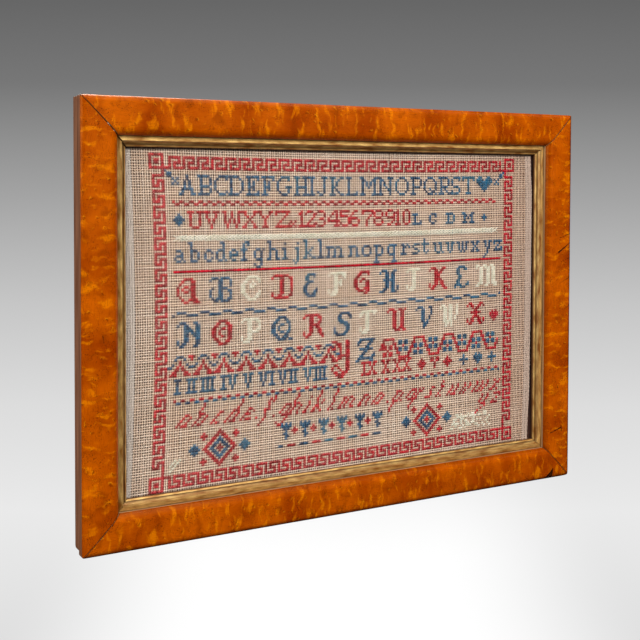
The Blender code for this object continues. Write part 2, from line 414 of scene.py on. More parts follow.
# Knocks and slashes, with dirt in them: (rail, start and end, each along the rail from its
# middle and inward from the frame's edge, and width at start and end), in mm
SLASHES = (
    ("right", (76, 0), (70.5, 18.5), 0.9, 0.3),
    ("right", (66, 0), (53.5, 20), 0.5, 2.0),
    ("right", (59.5, 0), (58, 5.5), 0.5, 0.4),
    ("right", (47, 0), (44.5, 9.5), 0.4, 0.3),
    ("right", (24.5, 0), (16.5, 18), 0.5, 0.2),
    ("right", (-9, 0), (-15, 10.5), 0.5, 0.2),
    ("right", (-157, 14), (-162, 30), 1.5, 0.7),
    ("right", (-155, 13.5), (-161, 13), 1.2, 0.8),
    ("bottom", (264.6, 0), (272.5, 9.5), 5.5, 1.6),
    ("bottom", (271, 0), (274, 11.5), 5.0, 1.2),
    ("left", (-8, 20), (-15, 21), 0.6, 0.3),
)
front_profile, front_zones = rail_profile()
lengths = [0.0]
for here, after in zip(front_profile, front_profile[1:]):
    lengths.append(lengths[-1] + math.hypot(after[0] - here[0], after[1] - here[1]))
first_front = front_zones.index("front")
front_inward = [point[0] for point in front_profile[first_front:-3]]
front_lengths = lengths[first_front:-3]
ragged = add_node(tree, "ShaderNodeTexNoise", {"Vector": uv, "Scale": 900.0, "Detail": 2.0})
ragged_by = add_node(
    tree, "ShaderNodeMapRange", {0: ragged.outputs[0], 1: 0.3, 2: 0.7, 3: -0.4 * MM, 4: 0.4 * MM}
).outputs[0]
slashed = None
for rail_name, start, end, start_width, end_width in SLASHES:
    ends = []
    for along, inward in (start, end):
        v = float(np.interp(inward * MM, front_inward, front_lengths))
        ends.append(Vector((along * MM + GRAIN_STARTS[rail_name], v, 0)))
    run = ends[1] - ends[0]
    offset = add_node(
        tree, "ShaderNodeVectorMath", {0: uv, 1: tuple(ends[0])}, operation="SUBTRACT"
    )
    share = add_node(
        tree,
        "ShaderNodeVectorMath",
        {0: offset.outputs[0], 1: tuple(run / run.length_squared)},
        operation="DOT_PRODUCT",
    )
    held = add_node(tree, "ShaderNodeClamp", {0: share.outputs["Value"]})
    foot = add_node(
        tree,
        "ShaderNodeVectorMath",
        {0: tuple(run), "Scale": held.outputs[0]},
        operation="SCALE",
    )
    off_line = add_node(
        tree,
        "ShaderNodeVectorMath",
        {0: offset.outputs[0], 1: foot.outputs[0]},
        operation="DISTANCE",
    )
    width = add_node(
        tree,
        "ShaderNodeMapRange",
        {0: held.outputs[0], 3: start_width / 2 * MM, 4: end_width / 2 * MM},
    )
    inside = add_node(
        tree,
        "ShaderNodeMath",
        {0: width.outputs[0], 1: off_line.outputs["Value"]},
        operation="SUBTRACT",
    )
    rough_inside = add_node(
        tree, "ShaderNodeMath", {0: inside.outputs[0], 1: ragged_by}, operation="ADD"
    )
    slash = add_node(
        tree,
        "ShaderNodeMapRange",
        {0: rough_inside.outputs[0], 1: -0.25 * MM, 2: 0.25 * MM, 3: 0.0, 4: 0.95},
    ).outputs[0]
    if slashed is not None:
        slash = add_node(
            tree, "ShaderNodeMath", {0: slashed, 1: slash}, operation="MAXIMUM"
        ).outputs[0]
    slashed = slash
masks["slashes"] = slashed
base = add_node(tree, "ShaderNodeValToRGB", {0: patterns["clouds"]})
base.color_ramp.elements[0].position = 0.33
base.color_ramp.elements[0].color = srgb("903400")
base.color_ramp.elements[1].position = 0.66
base.color_ramp.elements[1].color = srgb("BE5600")
colour = base.outputs[0]
for name, share, code in (
    ("dark curl", 1.0, "7E3000"),
    ("curl", 0.6, "E47E00"),
    ("flecks", 1.0, "822E00"),
    ("painted eye highlight", 0.5, "F09A14"),
    ("painted eye shade", 0.8, "6C2600"),
    ("heart", 0.7, "6A2600"),
    ("outer edge", 1.0, "2E1006"),
    ("inner edge shade", 1.0, "6A2800"),
    ("pit", 1.0, "2A0C04"),
    ("mitre grime", 1.0, "280C06"),
    ("slashes", 1.0, "1C0A06"),
):
    amount = add_node(
        tree, "ShaderNodeMath", {0: masks[name], 1: share}, operation="MULTIPLY"
    ).outputs[0]
    colour = add_node(
        tree, "ShaderNodeMix", {0: amount, 6: colour, 7: srgb(code)}, data_type="RGBA"
    ).outputs[2]
tree.links.new(colour, shader.inputs["Base Color"])
polish = add_node(
    tree, "ShaderNodeMapRange", {0: patterns["clouds"], 1: 0.3, 2: 0.7, 3: 0.17, 4: 0.27}
)
tree.links.new(polish.outputs[0], shader.inputs["Roughness"])
shader.inputs["Specular IOR Level"].default_value = 0.22
shader.inputs["Specular Tint"].default_value = srgb("FFB45A")
relief = patterns["curl"]
for name, height in (
    ("swell", 0.18),
    ("heart", -0.5),
    ("flecks", -0.3),
    ("pit", -1.0),
    ("slashes", -1.6),
):
    relief = add_node(
        tree,
        "ShaderNodeMath",
        {0: masks[name], 1: height, 2: relief},
        operation="MULTIPLY_ADD",
    ).outputs[0]
bumps = add_node(
    tree, "ShaderNodeBump", {"Strength": 0.5, "Distance": 0.35 * MM, "Height": relief}
)
tree.links.new(bumps.outputs[0], shader.inputs["Normal"])

# Softwood side stained and varnished brown: dull mauve-brown with long soft streaks.
stained, tree, shader = new_material("stained_softwood_side")
uv = add_node(tree, "ShaderNodeUVMap", uv_map="grain").outputs["UV"]
streak_uv = add_node(tree, "ShaderNodeVectorMath", {0: uv, 1: (14.0, 700.0, 1.0)}, operation="MULTIPLY")
streaks = add_node(tree, "ShaderNodeTexNoise", {"Vector": streak_uv.outputs[0], "Scale": 1.0, "Detail": 3.0})
side_colour = add_node(tree, "ShaderNodeValToRGB", {0: streaks.outputs[0]})
side_colour.color_ramp.elements[0].position = 0.3
side_colour.color_ramp.elements[0].color = srgb("6C3E28")
side_colour.color_ramp.elements[1].position = 0.7
side_colour.color_ramp.elements[1].color = srgb("B27A5A")
tree.links.new(side_colour.outputs[0], shader.inputs["Base Color"])
shader.inputs["Roughness"].default_value = 0.45
bumps = add_node(
    tree,
    "ShaderNodeBump",
    {"Strength": 0.3, "Distance": 0.2 * MM, "Height": streaks.outputs[0]},
)
tree.links.new(bumps.outputs[0], shader.inputs["Normal"])

# Bare softwood at the back, planed and aged: pale brown with straight grain lines.
bare, tree, shader = new_material("planed_softwood_back")
uv = add_node(tree, "ShaderNodeUVMap", uv_map="grain").outputs["UV"]
line_uv = add_node(tree, "ShaderNodeVectorMath", {0: uv, 1: (8.0, 500.0, 1.0)}, operation="MULTIPLY")
lines = add_node(tree, "ShaderNodeTexNoise", {"Vector": line_uv.outputs[0], "Scale": 1.0, "Detail": 4.0})
back_colour = add_node(tree, "ShaderNodeValToRGB", {0: lines.outputs[0]})
back_colour.color_ramp.elements[0].position = 0.35
back_colour.color_ramp.elements[0].color = srgb("7A5433")
back_colour.color_ramp.elements[1].position = 0.65
back_colour.color_ramp.elements[1].color = srgb("B58C5E")
tree.links.new(back_colour.outputs[0], shader.inputs["Base Color"])
shader.inputs["Roughness"].default_value = 0.7
bumps = add_node(tree, "ShaderNodeBump", {"Strength": 0.4, "Distance": 0.2 * MM, "Height": lines.outputs[0]})
tree.links.new(bumps.outputs[0], shader.inputs["Normal"])

END_STATIONS = (0.0, 0.002, 0.005, 0.009, 0.014, 0.022, 0.035)
stations = list(END_STATIONS)
stations += [0.05 + 0.9 * step / 60 for step in range(61)]
stations += [1 - share for share in reversed(END_STATIONS)]
profile, zones = rail_profile()
for side in ("top", "bottom", "left", "right"):
    rail = moulding(
        f"veneered_rail_{side}",
        side,
        profile,
        zones,
        {"front": maple, "side": stained, "back": bare},
        stations,
        0.16 * MM,
    )
    face_outwards(rail.data)
    rail.data.shade_smooth()
    rail.data.set_sharp_from_angle(angle=math.radians(40))
    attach(rail, "root")
    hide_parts(f"rail_{side}")

# Crumbs of old filler left in the opened joint at the top left: (x, z, across, height off the
# veneer), in mm
FILLER_CRUMBS = (
    (-274.1, -11.1, 1.3, 24.7),
    (-272.6, -12.6, 0.9, 24.6),
    (-268.3, -17.5, 1.5, 23.6),
    (-266.4, -21.5, 1.2, 21.4),
)
# Old putty: chalky and pale on top, brown where dust has settled in its crust
putty, tree, shader = new_material("dried_linseed_putty")
place = add_node(tree, "ShaderNodeTexCoord").outputs["Object"]
crust = add_node(tree, "ShaderNodeTexNoise", {"Vector": place, "Scale": 1500.0, "Detail": 3.0})
putty_colour = add_node(tree, "ShaderNodeValToRGB", {0: crust.outputs[0]})
putty_colour.color_ramp.elements[0].position = 0.35
putty_colour.color_ramp.elements[0].color = srgb("6E5040")
putty_colour.color_ramp.elements[1].position = 0.6
putty_colour.color_ramp.elements[1].color = srgb("D8C8B4")
tree.links.new(putty_colour.outputs[0], shader.inputs["Base Color"])
shader.inputs["Roughness"].default_value = 0.8
bumps = add_node(
    tree, "ShaderNodeBump", {"Strength": 0.5, "Distance": 0.15 * MM, "Height": crust.outputs[0]}
)
tree.links.new(bumps.outputs[0], shader.inputs["Normal"])
shape = bmesh.new()
for x, z, across, height in FILLER_CRUMBS:
    made = bmesh.ops.create_icosphere(shape, subdivisions=2, radius=across / 2 * MM)
    for vertex in made["verts"]:
        lump = 1 + 0.5 * noise.noise(vertex.co * 1800 + Vector((x, z, 0)))
        flat = Vector((vertex.co.x, vertex.co.y * 0.6, vertex.co.z * 1.3)) * lump
        vertex.co = flat + Vector((x * MM, -height * MM, z * MM))
mesh = bpy.data.meshes.new("filler_crumbs")
shape.to_mesh(mesh)
shape.free()
mesh.materials.append(putty)
mesh.shade_smooth()
crumbs = new_object("filler_crumbs", mesh)
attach(crumbs, "root")

# Gilt slip
# Four mitred strips of small moulding pushed in under the lip of the rails: gesso and gold leaf
# on softwood, with an outward bevel, a narrow ridge, a cove and a flat fillet at the sight edge.
SIGHT_INSET = 47.2 * MM
SLIP_BACK = 9.5 * MM
SLIP_BEVEL_FOOT = 16.1 * MM
SLIP_RIDGE = 17.8 * MM
SLIP_RIDGE_FROM_RAIL = 4.2 * MM
SLIP_RIDGE_WIDTH = 0.5 * MM
SLIP_FILLET_WIDTH = 1.9 * MM
SLIP_FILLET_TOP = 13.5 * MM
SLIP_SIGHT_ARRIS = 12.0 * MM
SLIP_QUIRK = 0.5 * MM


def slip_profile():
    """Profile of the slip: flange, bevel, ridge, cove, fillet and sight edge."""
    foot = RAIL_WIDTH + FIT_GAP
    ridge = RAIL_WIDTH + SLIP_RIDGE_FROM_RAIL
    fillet = SIGHT_INSET - SLIP_FILLET_WIDTH
    ridge_end = (ridge + SLIP_RIDGE_WIDTH, SLIP_RIDGE)
    cove_end = (fillet - 0.1 * MM, SLIP_FILLET_TOP - SLIP_QUIRK)
    cove_control = (ridge_end[0] + 0.6 * MM, cove_end[1] + 0.9 * MM)
    outside = REBATE_FROM_OUTSIDE + FIT_GAP
    points = [
        (outside, SLIP_BACK),
        (outside, LIP_UNDERSIDE - FIT_GAP),
        (foot, LIP_UNDERSIDE - FIT_GAP),
        (foot, SLIP_BEVEL_FOOT),
    ]
    bevel_control = (foot + 0.4 * MM, SLIP_BEVEL_FOOT + 0.3 * MM)
    points += bend((foot, SLIP_BEVEL_FOOT), bevel_control, (ridge, SLIP_RIDGE), 5)[1:]
    points += bend(ridge_end, cove_control, cove_end, 10)
    points += [
        (fillet, SLIP_FILLET_TOP),
        (SIGHT_INSET - 0.5 * MM, SLIP_SIGHT_ARRIS + 0.45 * MM),
        (SIGHT_INSET - 0.15 * MM, SLIP_SIGHT_ARRIS + 0.05 * MM),
        (SIGHT_INSET, SLIP_SIGHT_ARRIS - 0.25 * MM),
        (SIGHT_INSET, SLIP_BACK),
    ]
    return points


# Gold leaf over red clay and gesso, burnished then toned: pale warm gold, speckled where the leaf has rubbed
# through, with brown dirt in the quirks and painted shade that darkens the foot, the cove and the sight edge.
gilt, tree, shader = new_material("toned_gold_leaf")
uv = add_node(tree, "ShaderNodeUVMap", uv_map="grain").outputs["UV"]
rub_uv = add_node(tree, "ShaderNodeVectorMath", {0: uv, 1: (800.0, 900.0, 1.0)}, operation="MULTIPLY")
rubs = add_node(
    tree,
    "ShaderNodeTexNoise",
    {"Vector": rub_uv.outputs[0], "Scale": 1.0, "Detail": 4.0, "Roughness": 0.65},
)
rub_mask = add_node(tree, "ShaderNodeMapRange", {0: rubs.outputs[0], 1: 0.55, 2: 0.7, 3: 0.0, 4: 0.6})
tone_uv = add_node(tree, "ShaderNodeVectorMath", {0: uv, 1: (60.0, 200.0, 1.0)}, operation="MULTIPLY")
tones = add_node(tree, "ShaderNodeTexNoise", {"Vector": tone_uv.outputs[0], "Scale": 1.0, "Detail": 2.0})
leaf = add_node(tree, "ShaderNodeValToRGB", {0: tones.outputs[0]})
leaf.color_ramp.elements[0].position = 0.3
leaf.color_ramp.elements[0].color = srgb("A0621E")
leaf.color_ramp.elements[1].position = 0.7
leaf.color_ramp.elements[1].color = srgb("FCD07C")
worn = add_node(
    tree,
    "ShaderNodeMix",
    {0: rub_mask.outputs[0], 6: leaf.outputs[0], 7: srgb("7A4420")},
    data_type="RGBA",
)
# Brown dirt and painted shade by its place round the profile, in mm: at the foot, in the cove and its quirk,
# and on the sight edge
SLIP_DIRT_AND_SHADE = (
    (12.0, 0.9),
    (13.1, 0.1),
    (16.9, 0.0),
    (18.3, 0.3),
    (22.0, 0.55),
    (23.9, 0.95),
    (24.4, 0.15),
    (25.6, 0.15),
    (26.3, 0.8),
    (29.0, 1.0),
)
round_uv = add_node(tree, "ShaderNodeSeparateXYZ", {0: uv})
first_place = SLIP_DIRT_AND_SHADE[0][0]
last_place = SLIP_DIRT_AND_SHADE[-1][0]
round_share = add_node(
    tree,
    "ShaderNodeMapRange",
    {0: round_uv.outputs["Y"], 1: first_place * MM, 2: last_place * MM},
)
slip_dirt_and_shade = add_node(tree, "ShaderNodeValToRGB", {0: round_share.outputs[0]})
for index, (place, amount) in enumerate(SLIP_DIRT_AND_SHADE):
    elements = slip_dirt_and_shade.color_ramp.elements
    stop = elements[index] if index < 2 else elements.new(1.0)
    stop.position = (place - first_place) / (last_place - first_place)
    stop.color = (amount, amount, amount, 1.0)
# Painted shade and dirt: the gold is mixed towards dark brown by its place round the profile
dirtied_and_shaded = add_node(
    tree, "ShaderNodeMix", {0: slip_dirt_and_shade.outputs[0], 6: worn.outputs[2], 7: srgb("4E2A12")}, data_type="RGBA"
)
tree.links.new(dirtied_and_shaded.outputs[2], shader.inputs["Base Color"])
shader.inputs["Metallic"].default_value = 0.45
gloss = add_node(tree, "ShaderNodeMapRange", {0: rubs.outputs[0], 1: 0.4, 2: 0.7, 3: 0.3, 4: 0.6})
tree.links.new(gloss.outputs[0], shader.inputs["Roughness"])
bumps = add_node(tree, "ShaderNodeBump", {"Strength": 0.35, "Distance": 0.15 * MM, "Height": rubs.outputs[0]})
tree.links.new(bumps.outputs[0], shader.inputs["Normal"])

slip_stations = [step / 50 for step in range(51)]
profile = slip_profile()
for side in ("top", "bottom", "left", "right"):
    slip = moulding(
        f"gilded_slip_{side}",
        side,
        profile,
        ["gilt"] * len(profile),
        {"gilt": gilt},
        slip_stations,
        0.05 * MM,
    )
    face_outwards(slip.data)
    slip.data.shade_smooth()
    slip.data.set_sharp_from_angle(angle=math.radians(32))
    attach(slip, "root")
    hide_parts(f"slip_{side}")

# Backing board
# One thin sheet of brown board that closes the rebate behind the canvas. It shows through the
# holes of the canvas and in the gap at its right edge.
board = frame["nodes"]["backing_board"]
board_front = min(vertex.co.y for vertex in board.data.vertices)
board_back = max(vertex.co.y for vertex in board.data.vertices)
board_paper, tree, shader = new_material("brown_millboard")
place = add_node(tree, "ShaderNodeTexCoord").outputs["Object"]
fibre_at = add_node(tree, "ShaderNodeVectorMath", {0: place, 1: (350.0, 1.0, 120.0)}, operation="MULTIPLY")
fibres = add_node(tree, "ShaderNodeTexNoise", {"Vector": fibre_at.outputs[0], "Scale": 1.0, "Detail": 4.0})
stains = add_node(tree, "ShaderNodeTexNoise", {"Vector": place, "Scale": 9.0, "Detail": 3.0})
mixed = add_node(tree, "ShaderNodeMath", {0: fibres.outputs[0], 1: stains.outputs[0]}, operation="MULTIPLY")
# Painted shade: the front's brown is darkened nearly to black, to stand for the shade behind the canvas
shaded_board_front = add_node(tree, "ShaderNodeValToRGB", {0: mixed.outputs[0]})
shaded_board_front.color_ramp.elements[0].position = 0.15
shaded_board_front.color_ramp.elements[0].color = srgb("26120C")
shaded_board_front.color_ramp.elements[1].position = 0.4
shaded_board_front.color_ramp.elements[1].color = srgb("48281C")
# Its back keeps the board's own paler brown; the near-black front is painted shade for the holes of the
# canvas
board_at = add_node(tree, "ShaderNodeSeparateXYZ", {0: place})
at_back = add_node(
    tree, "ShaderNodeMapRange", {0: board_at.outputs["Y"], 1: board_front, 2: board_back}
)
back_shade = add_node(tree, "ShaderNodeValToRGB", {0: mixed.outputs[0]})
back_shade.color_ramp.elements[0].position = 0.15
back_shade.color_ramp.elements[0].color = srgb("7A5A40")
back_shade.color_ramp.elements[1].position = 0.4
back_shade.color_ramp.elements[1].color = srgb("A8866A")
both_faces = add_node(
    tree,
    "ShaderNodeMix",
    {0: at_back.outputs[0], 6: shaded_board_front.outputs[0], 7: back_shade.outputs[0]},
    data_type="RGBA",
)
tree.links.new(both_faces.outputs[2], shader.inputs["Base Color"])
shader.inputs["Roughness"].default_value = 0.85
bumps = add_node(tree, "ShaderNodeBump", {"Strength": 0.4, "Distance": 0.2 * MM, "Height": fibres.outputs[0]})
tree.links.new(bumps.outputs[0], shader.inputs["Normal"])
board.data.materials.clear()
board.data.materials.append(board_paper)

# Canvas
# One piece of undyed open canvas, plain woven from thick soft threads ten to the inch, with a
# close woven edge at its left and right. It is stretched over the board and tucked in under the
# slip, and its right edge stops just short of the slip.
SIGHT_HALF_WIDTH = HALF_WIDTH - SIGHT_INSET
SIGHT_TOP = TOP - SIGHT_INSET
SIGHT_BOTTOM = BOTTOM + SIGHT_INSET
CANVAS_FRONT = SLIP_BACK - FIT_GAP
CANVAS_THICKNESS = 1.2 * MM
CANVAS_WAVE = 0.45 * MM
CANVAS_TUCK = 10.0 * MM
CANVAS_LEFT_TUCK = 12.0 * MM
SQUARES_ACROSS = 200
SQUARES_DOWN = 133.3
SQUARE_WIDTH = 505.6 * MM / SQUARES_ACROSS
SQUARE_HEIGHT = 338.6 * MM / SQUARES_DOWN
CHART_COLUMNS = 179
MARGIN_LEFT = 8.7
MARGIN_TOP = 2.1
WOVEN_EDGES = (-7.2, 186.6)
THREAD_DIP = 0.3 * MM
WARP_PROUD = 0.22 * MM
# How far the canvas stops short of the slip on the right: (share of the way down, gap)
RIGHT_EDGE = (
    (0.00, 2.8 * MM),
    (0.15, 0.5 * MM),
    (0.45, 0.8 * MM),
    (0.78, 1.6 * MM),
    (1.00, 4.4 * MM),
)


def right_edge_gap(share_down):
    """How far the canvas stops short of the slip, eased between the rows of RIGHT_EDGE."""
    gap = np.full_like(share_down, RIGHT_EDGE[-1][1])
    for (above, gap_above), (below, gap_below) in reversed(list(zip(RIGHT_EDGE, RIGHT_EDGE[1:]))):
        t = np.clip((share_down - above) / (below - above), 0, 1)
        eased = gap_above + (gap_below - gap_above) * t * t * (3 - 2 * t)
        gap = np.where(share_down <= below, eased, gap)
    return gap


def canvas_lift(across, down):
    """How far the canvas cockles forward, from shares of its width and height."""
    fade = np.sin(np.pi * np.clip(across, 0, 1)) * np.sin(np.pi * np.clip(down, 0, 1))
    rows = 0.5 + 0.5 * np.sin(2 * np.pi * (3.2 * down + 0.35 * np.sin(5 * across)))
    columns = 0.5 + 0.5 * np.sin(2 * np.pi * (2.3 * across + 0.2 * down))
    return CANVAS_WAVE * fade * (0.6 * rows + 0.4 * columns)


def canvas_place(column, row):
    """World place of the canvas's middle, from squares counted on the chart.

    The canvas has pulled a little out of square: its left side bows inward at mid height, its
    right side bows outward a little and leans in lower down, its upper rows sag in the middle,
    and its lower rows droop towards the left."""
    column = np.asarray(column, dtype=float)
    row = np.asarray(row, dtype=float)
    down = np.clip((row + MARGIN_TOP) / SQUARES_DOWN, 0, 1)
    left_shift = SQUARE_WIDTH * (0.3 + 1.8 * np.sin(np.pi * down) - 0.25 * down**2)
    right_shift = SQUARE_WIDTH * (0.3 * np.sin(np.pi * down) - 0.3 * down)
    last = SQUARES_ACROSS - MARGIN_LEFT - 0.5
    edge_shift = -right_edge_gap(down) - 0.8 * MM
    x = -SIGHT_HALF_WIDTH + (MARGIN_LEFT + 0.5 + column) * SQUARE_WIDTH
    inner = np.clip((100 - column) / 95, 0, 1) * left_shift
    outer = np.clip((column - 100) / 76, 0, 1) * right_shift
    rim = np.clip((column - 176) / (last - 176), 0, 1)
    # The slip hides a little more of the canvas on the right, as seen from the left
    inset = SQUARE_WIDTH * (0.4 + 0.6 * np.clip(column / 176, 0, 1))
    x = x + inner + (outer + inset) * (1 - rim) + rim * edge_shift
    sag = np.sin(np.pi * np.clip(column / CHART_COLUMNS, 0, 1)) * (1 - down) * 0.75 * SQUARE_HEIGHT
    droop = down * (1.1 - 0.95 * np.clip(column / CHART_COLUMNS, 0, 1))
    z = SIGHT_TOP - (MARGIN_TOP + 0.5 + row + droop) * SQUARE_HEIGHT - sag
    left = -SIGHT_HALF_WIDTH - CANVAS_LEFT_TUCK
    high = SIGHT_TOP + CANVAS_TUCK
    low = SIGHT_BOTTOM - CANVAS_TUCK
    right = SIGHT_HALF_WIDTH - right_edge_gap(down)
    lift = canvas_lift((x - left) / (right - left), (high - z) / (high - low))
    return x, -CANVAS_FRONT + CANVAS_THICKNESS / 2 - lift, z


def node_inputs(tree, wanted):
    """Gives a node group its named inputs, and returns its input node."""
    for name, kind, value in wanted:
        socket = tree.interface.new_socket(name=name, in_out="INPUT", socket_type=kind)
        if value is not None:
            socket.default_value = value
    tree.interface.new_socket(name="Geometry", in_out="OUTPUT", socket_type="NodeSocketGeometry")
    return tree.nodes.new("NodeGroupInput")


def finish_tree(tree, geometry, material):
    """Shades a node group's result smooth, makes its instances real and gives it its material."""
    smooth = add_node(tree, "GeometryNodeSetShadeSmooth", {"Geometry": geometry})
    real = add_node(tree, "GeometryNodeRealizeInstances", {"Geometry": smooth.outputs[0]})
    dressed = add_node(
        tree, "GeometryNodeSetMaterial", {"Geometry": real.outputs[0], "Material": material}
    )
    out = tree.nodes.new("NodeGroupOutput")
    tree.links.new(dressed.outputs[0], out.inputs["Geometry"])
    return tree


def thread_tree():
    """Geometry nodes: sweeps a soft three-sided thread along each line of points."""
    tree = bpy.data.node_groups.new("canvas_threads", "GeometryNodeTree")
    given = node_inputs(
        tree,
        (
            ("Geometry", "NodeSocketGeometry", None),
            ("Thread width", "NodeSocketFloat", 1.2 * MM),
            ("Thread thickness", "NodeSocketFloat", 0.8 * MM),
            ("Material", "NodeSocketMaterial", None),
        ),
    )
    lines = add_node(tree, "GeometryNodeMeshToCurve", {"Mesh": given.outputs["Geometry"]})
    faced = add_node(
        tree,
        "GeometryNodeSetCurveNormal",
        {"Curve": lines.outputs["Curve"], "Normal": (0.0, -1.0, 0.0)},
        mode="FREE",
    )
    # A circle of three points spans 1.5 radii from its flat back to its tip, and 1.732 across
    round_shape = add_node(tree, "GeometryNodeCurvePrimitiveCircle", {"Resolution": 3, "Radius": 1.0})
    depth = add_node(
        tree, "ShaderNodeMath", {0: given.outputs["Thread thickness"], 1: 1.5}, operation="DIVIDE"
    )
    breadth = add_node(
        tree, "ShaderNodeMath", {0: given.outputs["Thread width"], 1: 1.732}, operation="DIVIDE"
    )
    size = add_node(tree, "ShaderNodeCombineXYZ", {"X": depth.outputs[0], "Y": breadth.outputs[0], "Z": 1.0})
    section = add_node(
        tree, "GeometryNodeTransform", {"Geometry": round_shape.outputs["Curve"], "Scale": size.outputs[0]}
    )
    girth = add_node(tree, "GeometryNodeInputNamedAttribute", {"Name": "girth"}, data_type="FLOAT")
    swept = add_node(
        tree,
        "GeometryNodeCurveToMesh",
        {
            "Curve": faced.outputs["Curve"],
            "Profile Curve": section.outputs["Geometry"],
            "Scale": girth.outputs["Attribute"],
            "Fill Caps": True,
        },
    )
    return finish_tree(tree, swept.outputs["Mesh"], given.outputs["Material"])


def made_by_nodes(name, guide_mesh, tree, values):
    """Runs a node group on a guide mesh and returns the result as a plain mesh object."""
    guide = new_object(f"{name}_guide", guide_mesh)
    modifier = guide.modifiers.new("made", "NODES")
    modifier.node_group = tree
    for socket in tree.interface.items_tree:
        if socket.in_out == "INPUT" and socket.name in values:
            modifier[socket.identifier] = values[socket.name]
    bpy.context.view_layer.update()
    evaluated = guide.evaluated_get(bpy.context.evaluated_depsgraph_get())
    mesh = bpy.data.meshes.new_from_object(evaluated)
    mesh.name = name
    bpy.data.objects.remove(guide, do_unlink=True)
    return new_object(name, mesh)


def thread_lines(name, columns, rows, upright):
    """Guide lines of one set of threads, rising over and dipping under the other set."""
    chance = np.random.default_rng(7 if upright else 8)
    column, row = np.meshgrid(columns, rows, indexing="ij")
    x, y, z = canvas_place(column, row)
    over = (np.arange(len(columns))[:, None] + np.arange(len(rows))[None, :]) % 2 * 2.0 - 1.0
    if not upright:
        over = -over
    # The warp stands a little proud, so that both sets show alike
    y = y + over * THREAD_DIP - (WARP_PROUD if upright else 0)
    count = len(columns) if upright else len(rows)
    length = len(rows) if upright else len(columns)
    # Each thread wanders, thickens and thins slowly along its length
    steps = np.arange(length)
    wander = np.zeros((count, length))
    girth = np.zeros((count, length))
    for waves, reach, swell in ((1.3, 0.10, 0.05), (3.1, 0.08, 0.06), (9.0, 0.05, 0.08)):
        phase = chance.uniform(0, 2 * np.pi, (count, 2))
        turns = 2 * np.pi * waves * steps[None, :] / length
        wander += reach * MM * np.sin(turns + phase[:, :1])
        girth += swell * np.sin(turns * 1.7 + phase[:, 1:])
    wander += chance.normal(0, 0.10 * MM, (count, 1))
    girth += 1 + chance.normal(0, 0.07, (count, 1))
    if upright:
        x = x + wander
    else:
        x, y, z = x.T, y.T, (z.T + wander)
    points = np.stack([x, y, z], axis=-1).reshape(-1, 3)
    first = np.arange(count)[:, None] * length + np.arange(length - 1)[None, :]
    edges = np.stack([first, first + 1], axis=-1).reshape(-1, 2)
    mesh = bpy.data.meshes.new(name)
    mesh.vertices.add(len(points))
    mesh.vertices.foreach_set("co", points.ravel())
    mesh.edges.add(len(edges))
    mesh.edges.foreach_set("vertices", edges.ravel())
    attribute = mesh.attributes.new("girth", "FLOAT", "POINT")
    attribute.data.foreach_set("value", np.clip(girth, 0.7, 1.35).ravel())
    tint = mesh.attributes.new("tint", "FLOAT", "POINT")
    tints = np.repeat(chance.uniform(0, 1, (count, 1)), length, axis=1)
    woven_edge = (columns < WOVEN_EDGES[0]) | (columns > WOVEN_EDGES[1])
    if upright:
        tints[woven_edge, :] = 1.6
    else:
        tints[:, woven_edge] = 1.6
    tint.data.foreach_set("value", tints.ravel())
    mesh.update()
    return mesh


# Soft cotton canvas thread, undyed and aged: pinkish cream and dull, each thread a little
# different, with fine fibres and a trace of brown dirt in the twist.
canvas_thread, tree, shader = new_material("aged_cotton_canvas")
place = add_node(tree, "ShaderNodeTexCoord").outputs["Object"]
tint = add_node(tree, "ShaderNodeAttribute", attribute_name="tint")
patches = add_node(tree, "ShaderNodeTexNoise", {"Vector": place, "Scale": 14.0, "Detail": 3.0})
blend = add_node(tree, "ShaderNodeMath", {0: tint.outputs["Fac"], 1: patches.outputs[0]}, operation="ADD")
halved = add_node(tree, "ShaderNodeMath", {0: blend.outputs[0], 1: 0.5}, operation="MULTIPLY")
cotton = add_node(tree, "ShaderNodeValToRGB", {0: halved.outputs[0]})
cotton.color_ramp.elements[0].position = 0.2
cotton.color_ramp.elements[0].color = srgb("E2C5AA")
cotton.color_ramp.elements[1].position = 0.75
cotton.color_ramp.elements[1].color = srgb("F7E1CB")
bleached = cotton.color_ramp.elements.new(1.0)
bleached.color = srgb("DCD2C6")
# Yarn twist, about 0.5 mm
twist = add_node(tree, "ShaderNodeTexNoise", {"Vector": place, "Scale": 1800.0, "Detail": 2.0})
shaded = add_node(tree, "ShaderNodeMapRange", {0: twist.outputs[0], 1: 0.3, 2: 0.7, 3: 0.0, 4: 0.35})
fibre_colour = add_node(
    tree, "ShaderNodeMix", {0: shaded.outputs[0], 6: cotton.outputs[0], 7: srgb("C29C80")}, data_type="RGBA"
)
# The cloth is browner towards its right side
cloth_at = add_node(tree, "ShaderNodeSeparateXYZ", {0: place})
browned = add_node(
    tree,
    "ShaderNodeMapRange",
    {0: cloth_at.outputs["X"], 1: 130.0 * MM, 2: 240.0 * MM, 3: 0.0, 4: 0.45},
)
side_tone = add_node(
    tree,
    "ShaderNodeMix",
    {0: browned.outputs[0], 6: fibre_colour.outputs[2], 7: srgb("A87C60")},
    data_type="RGBA",
)
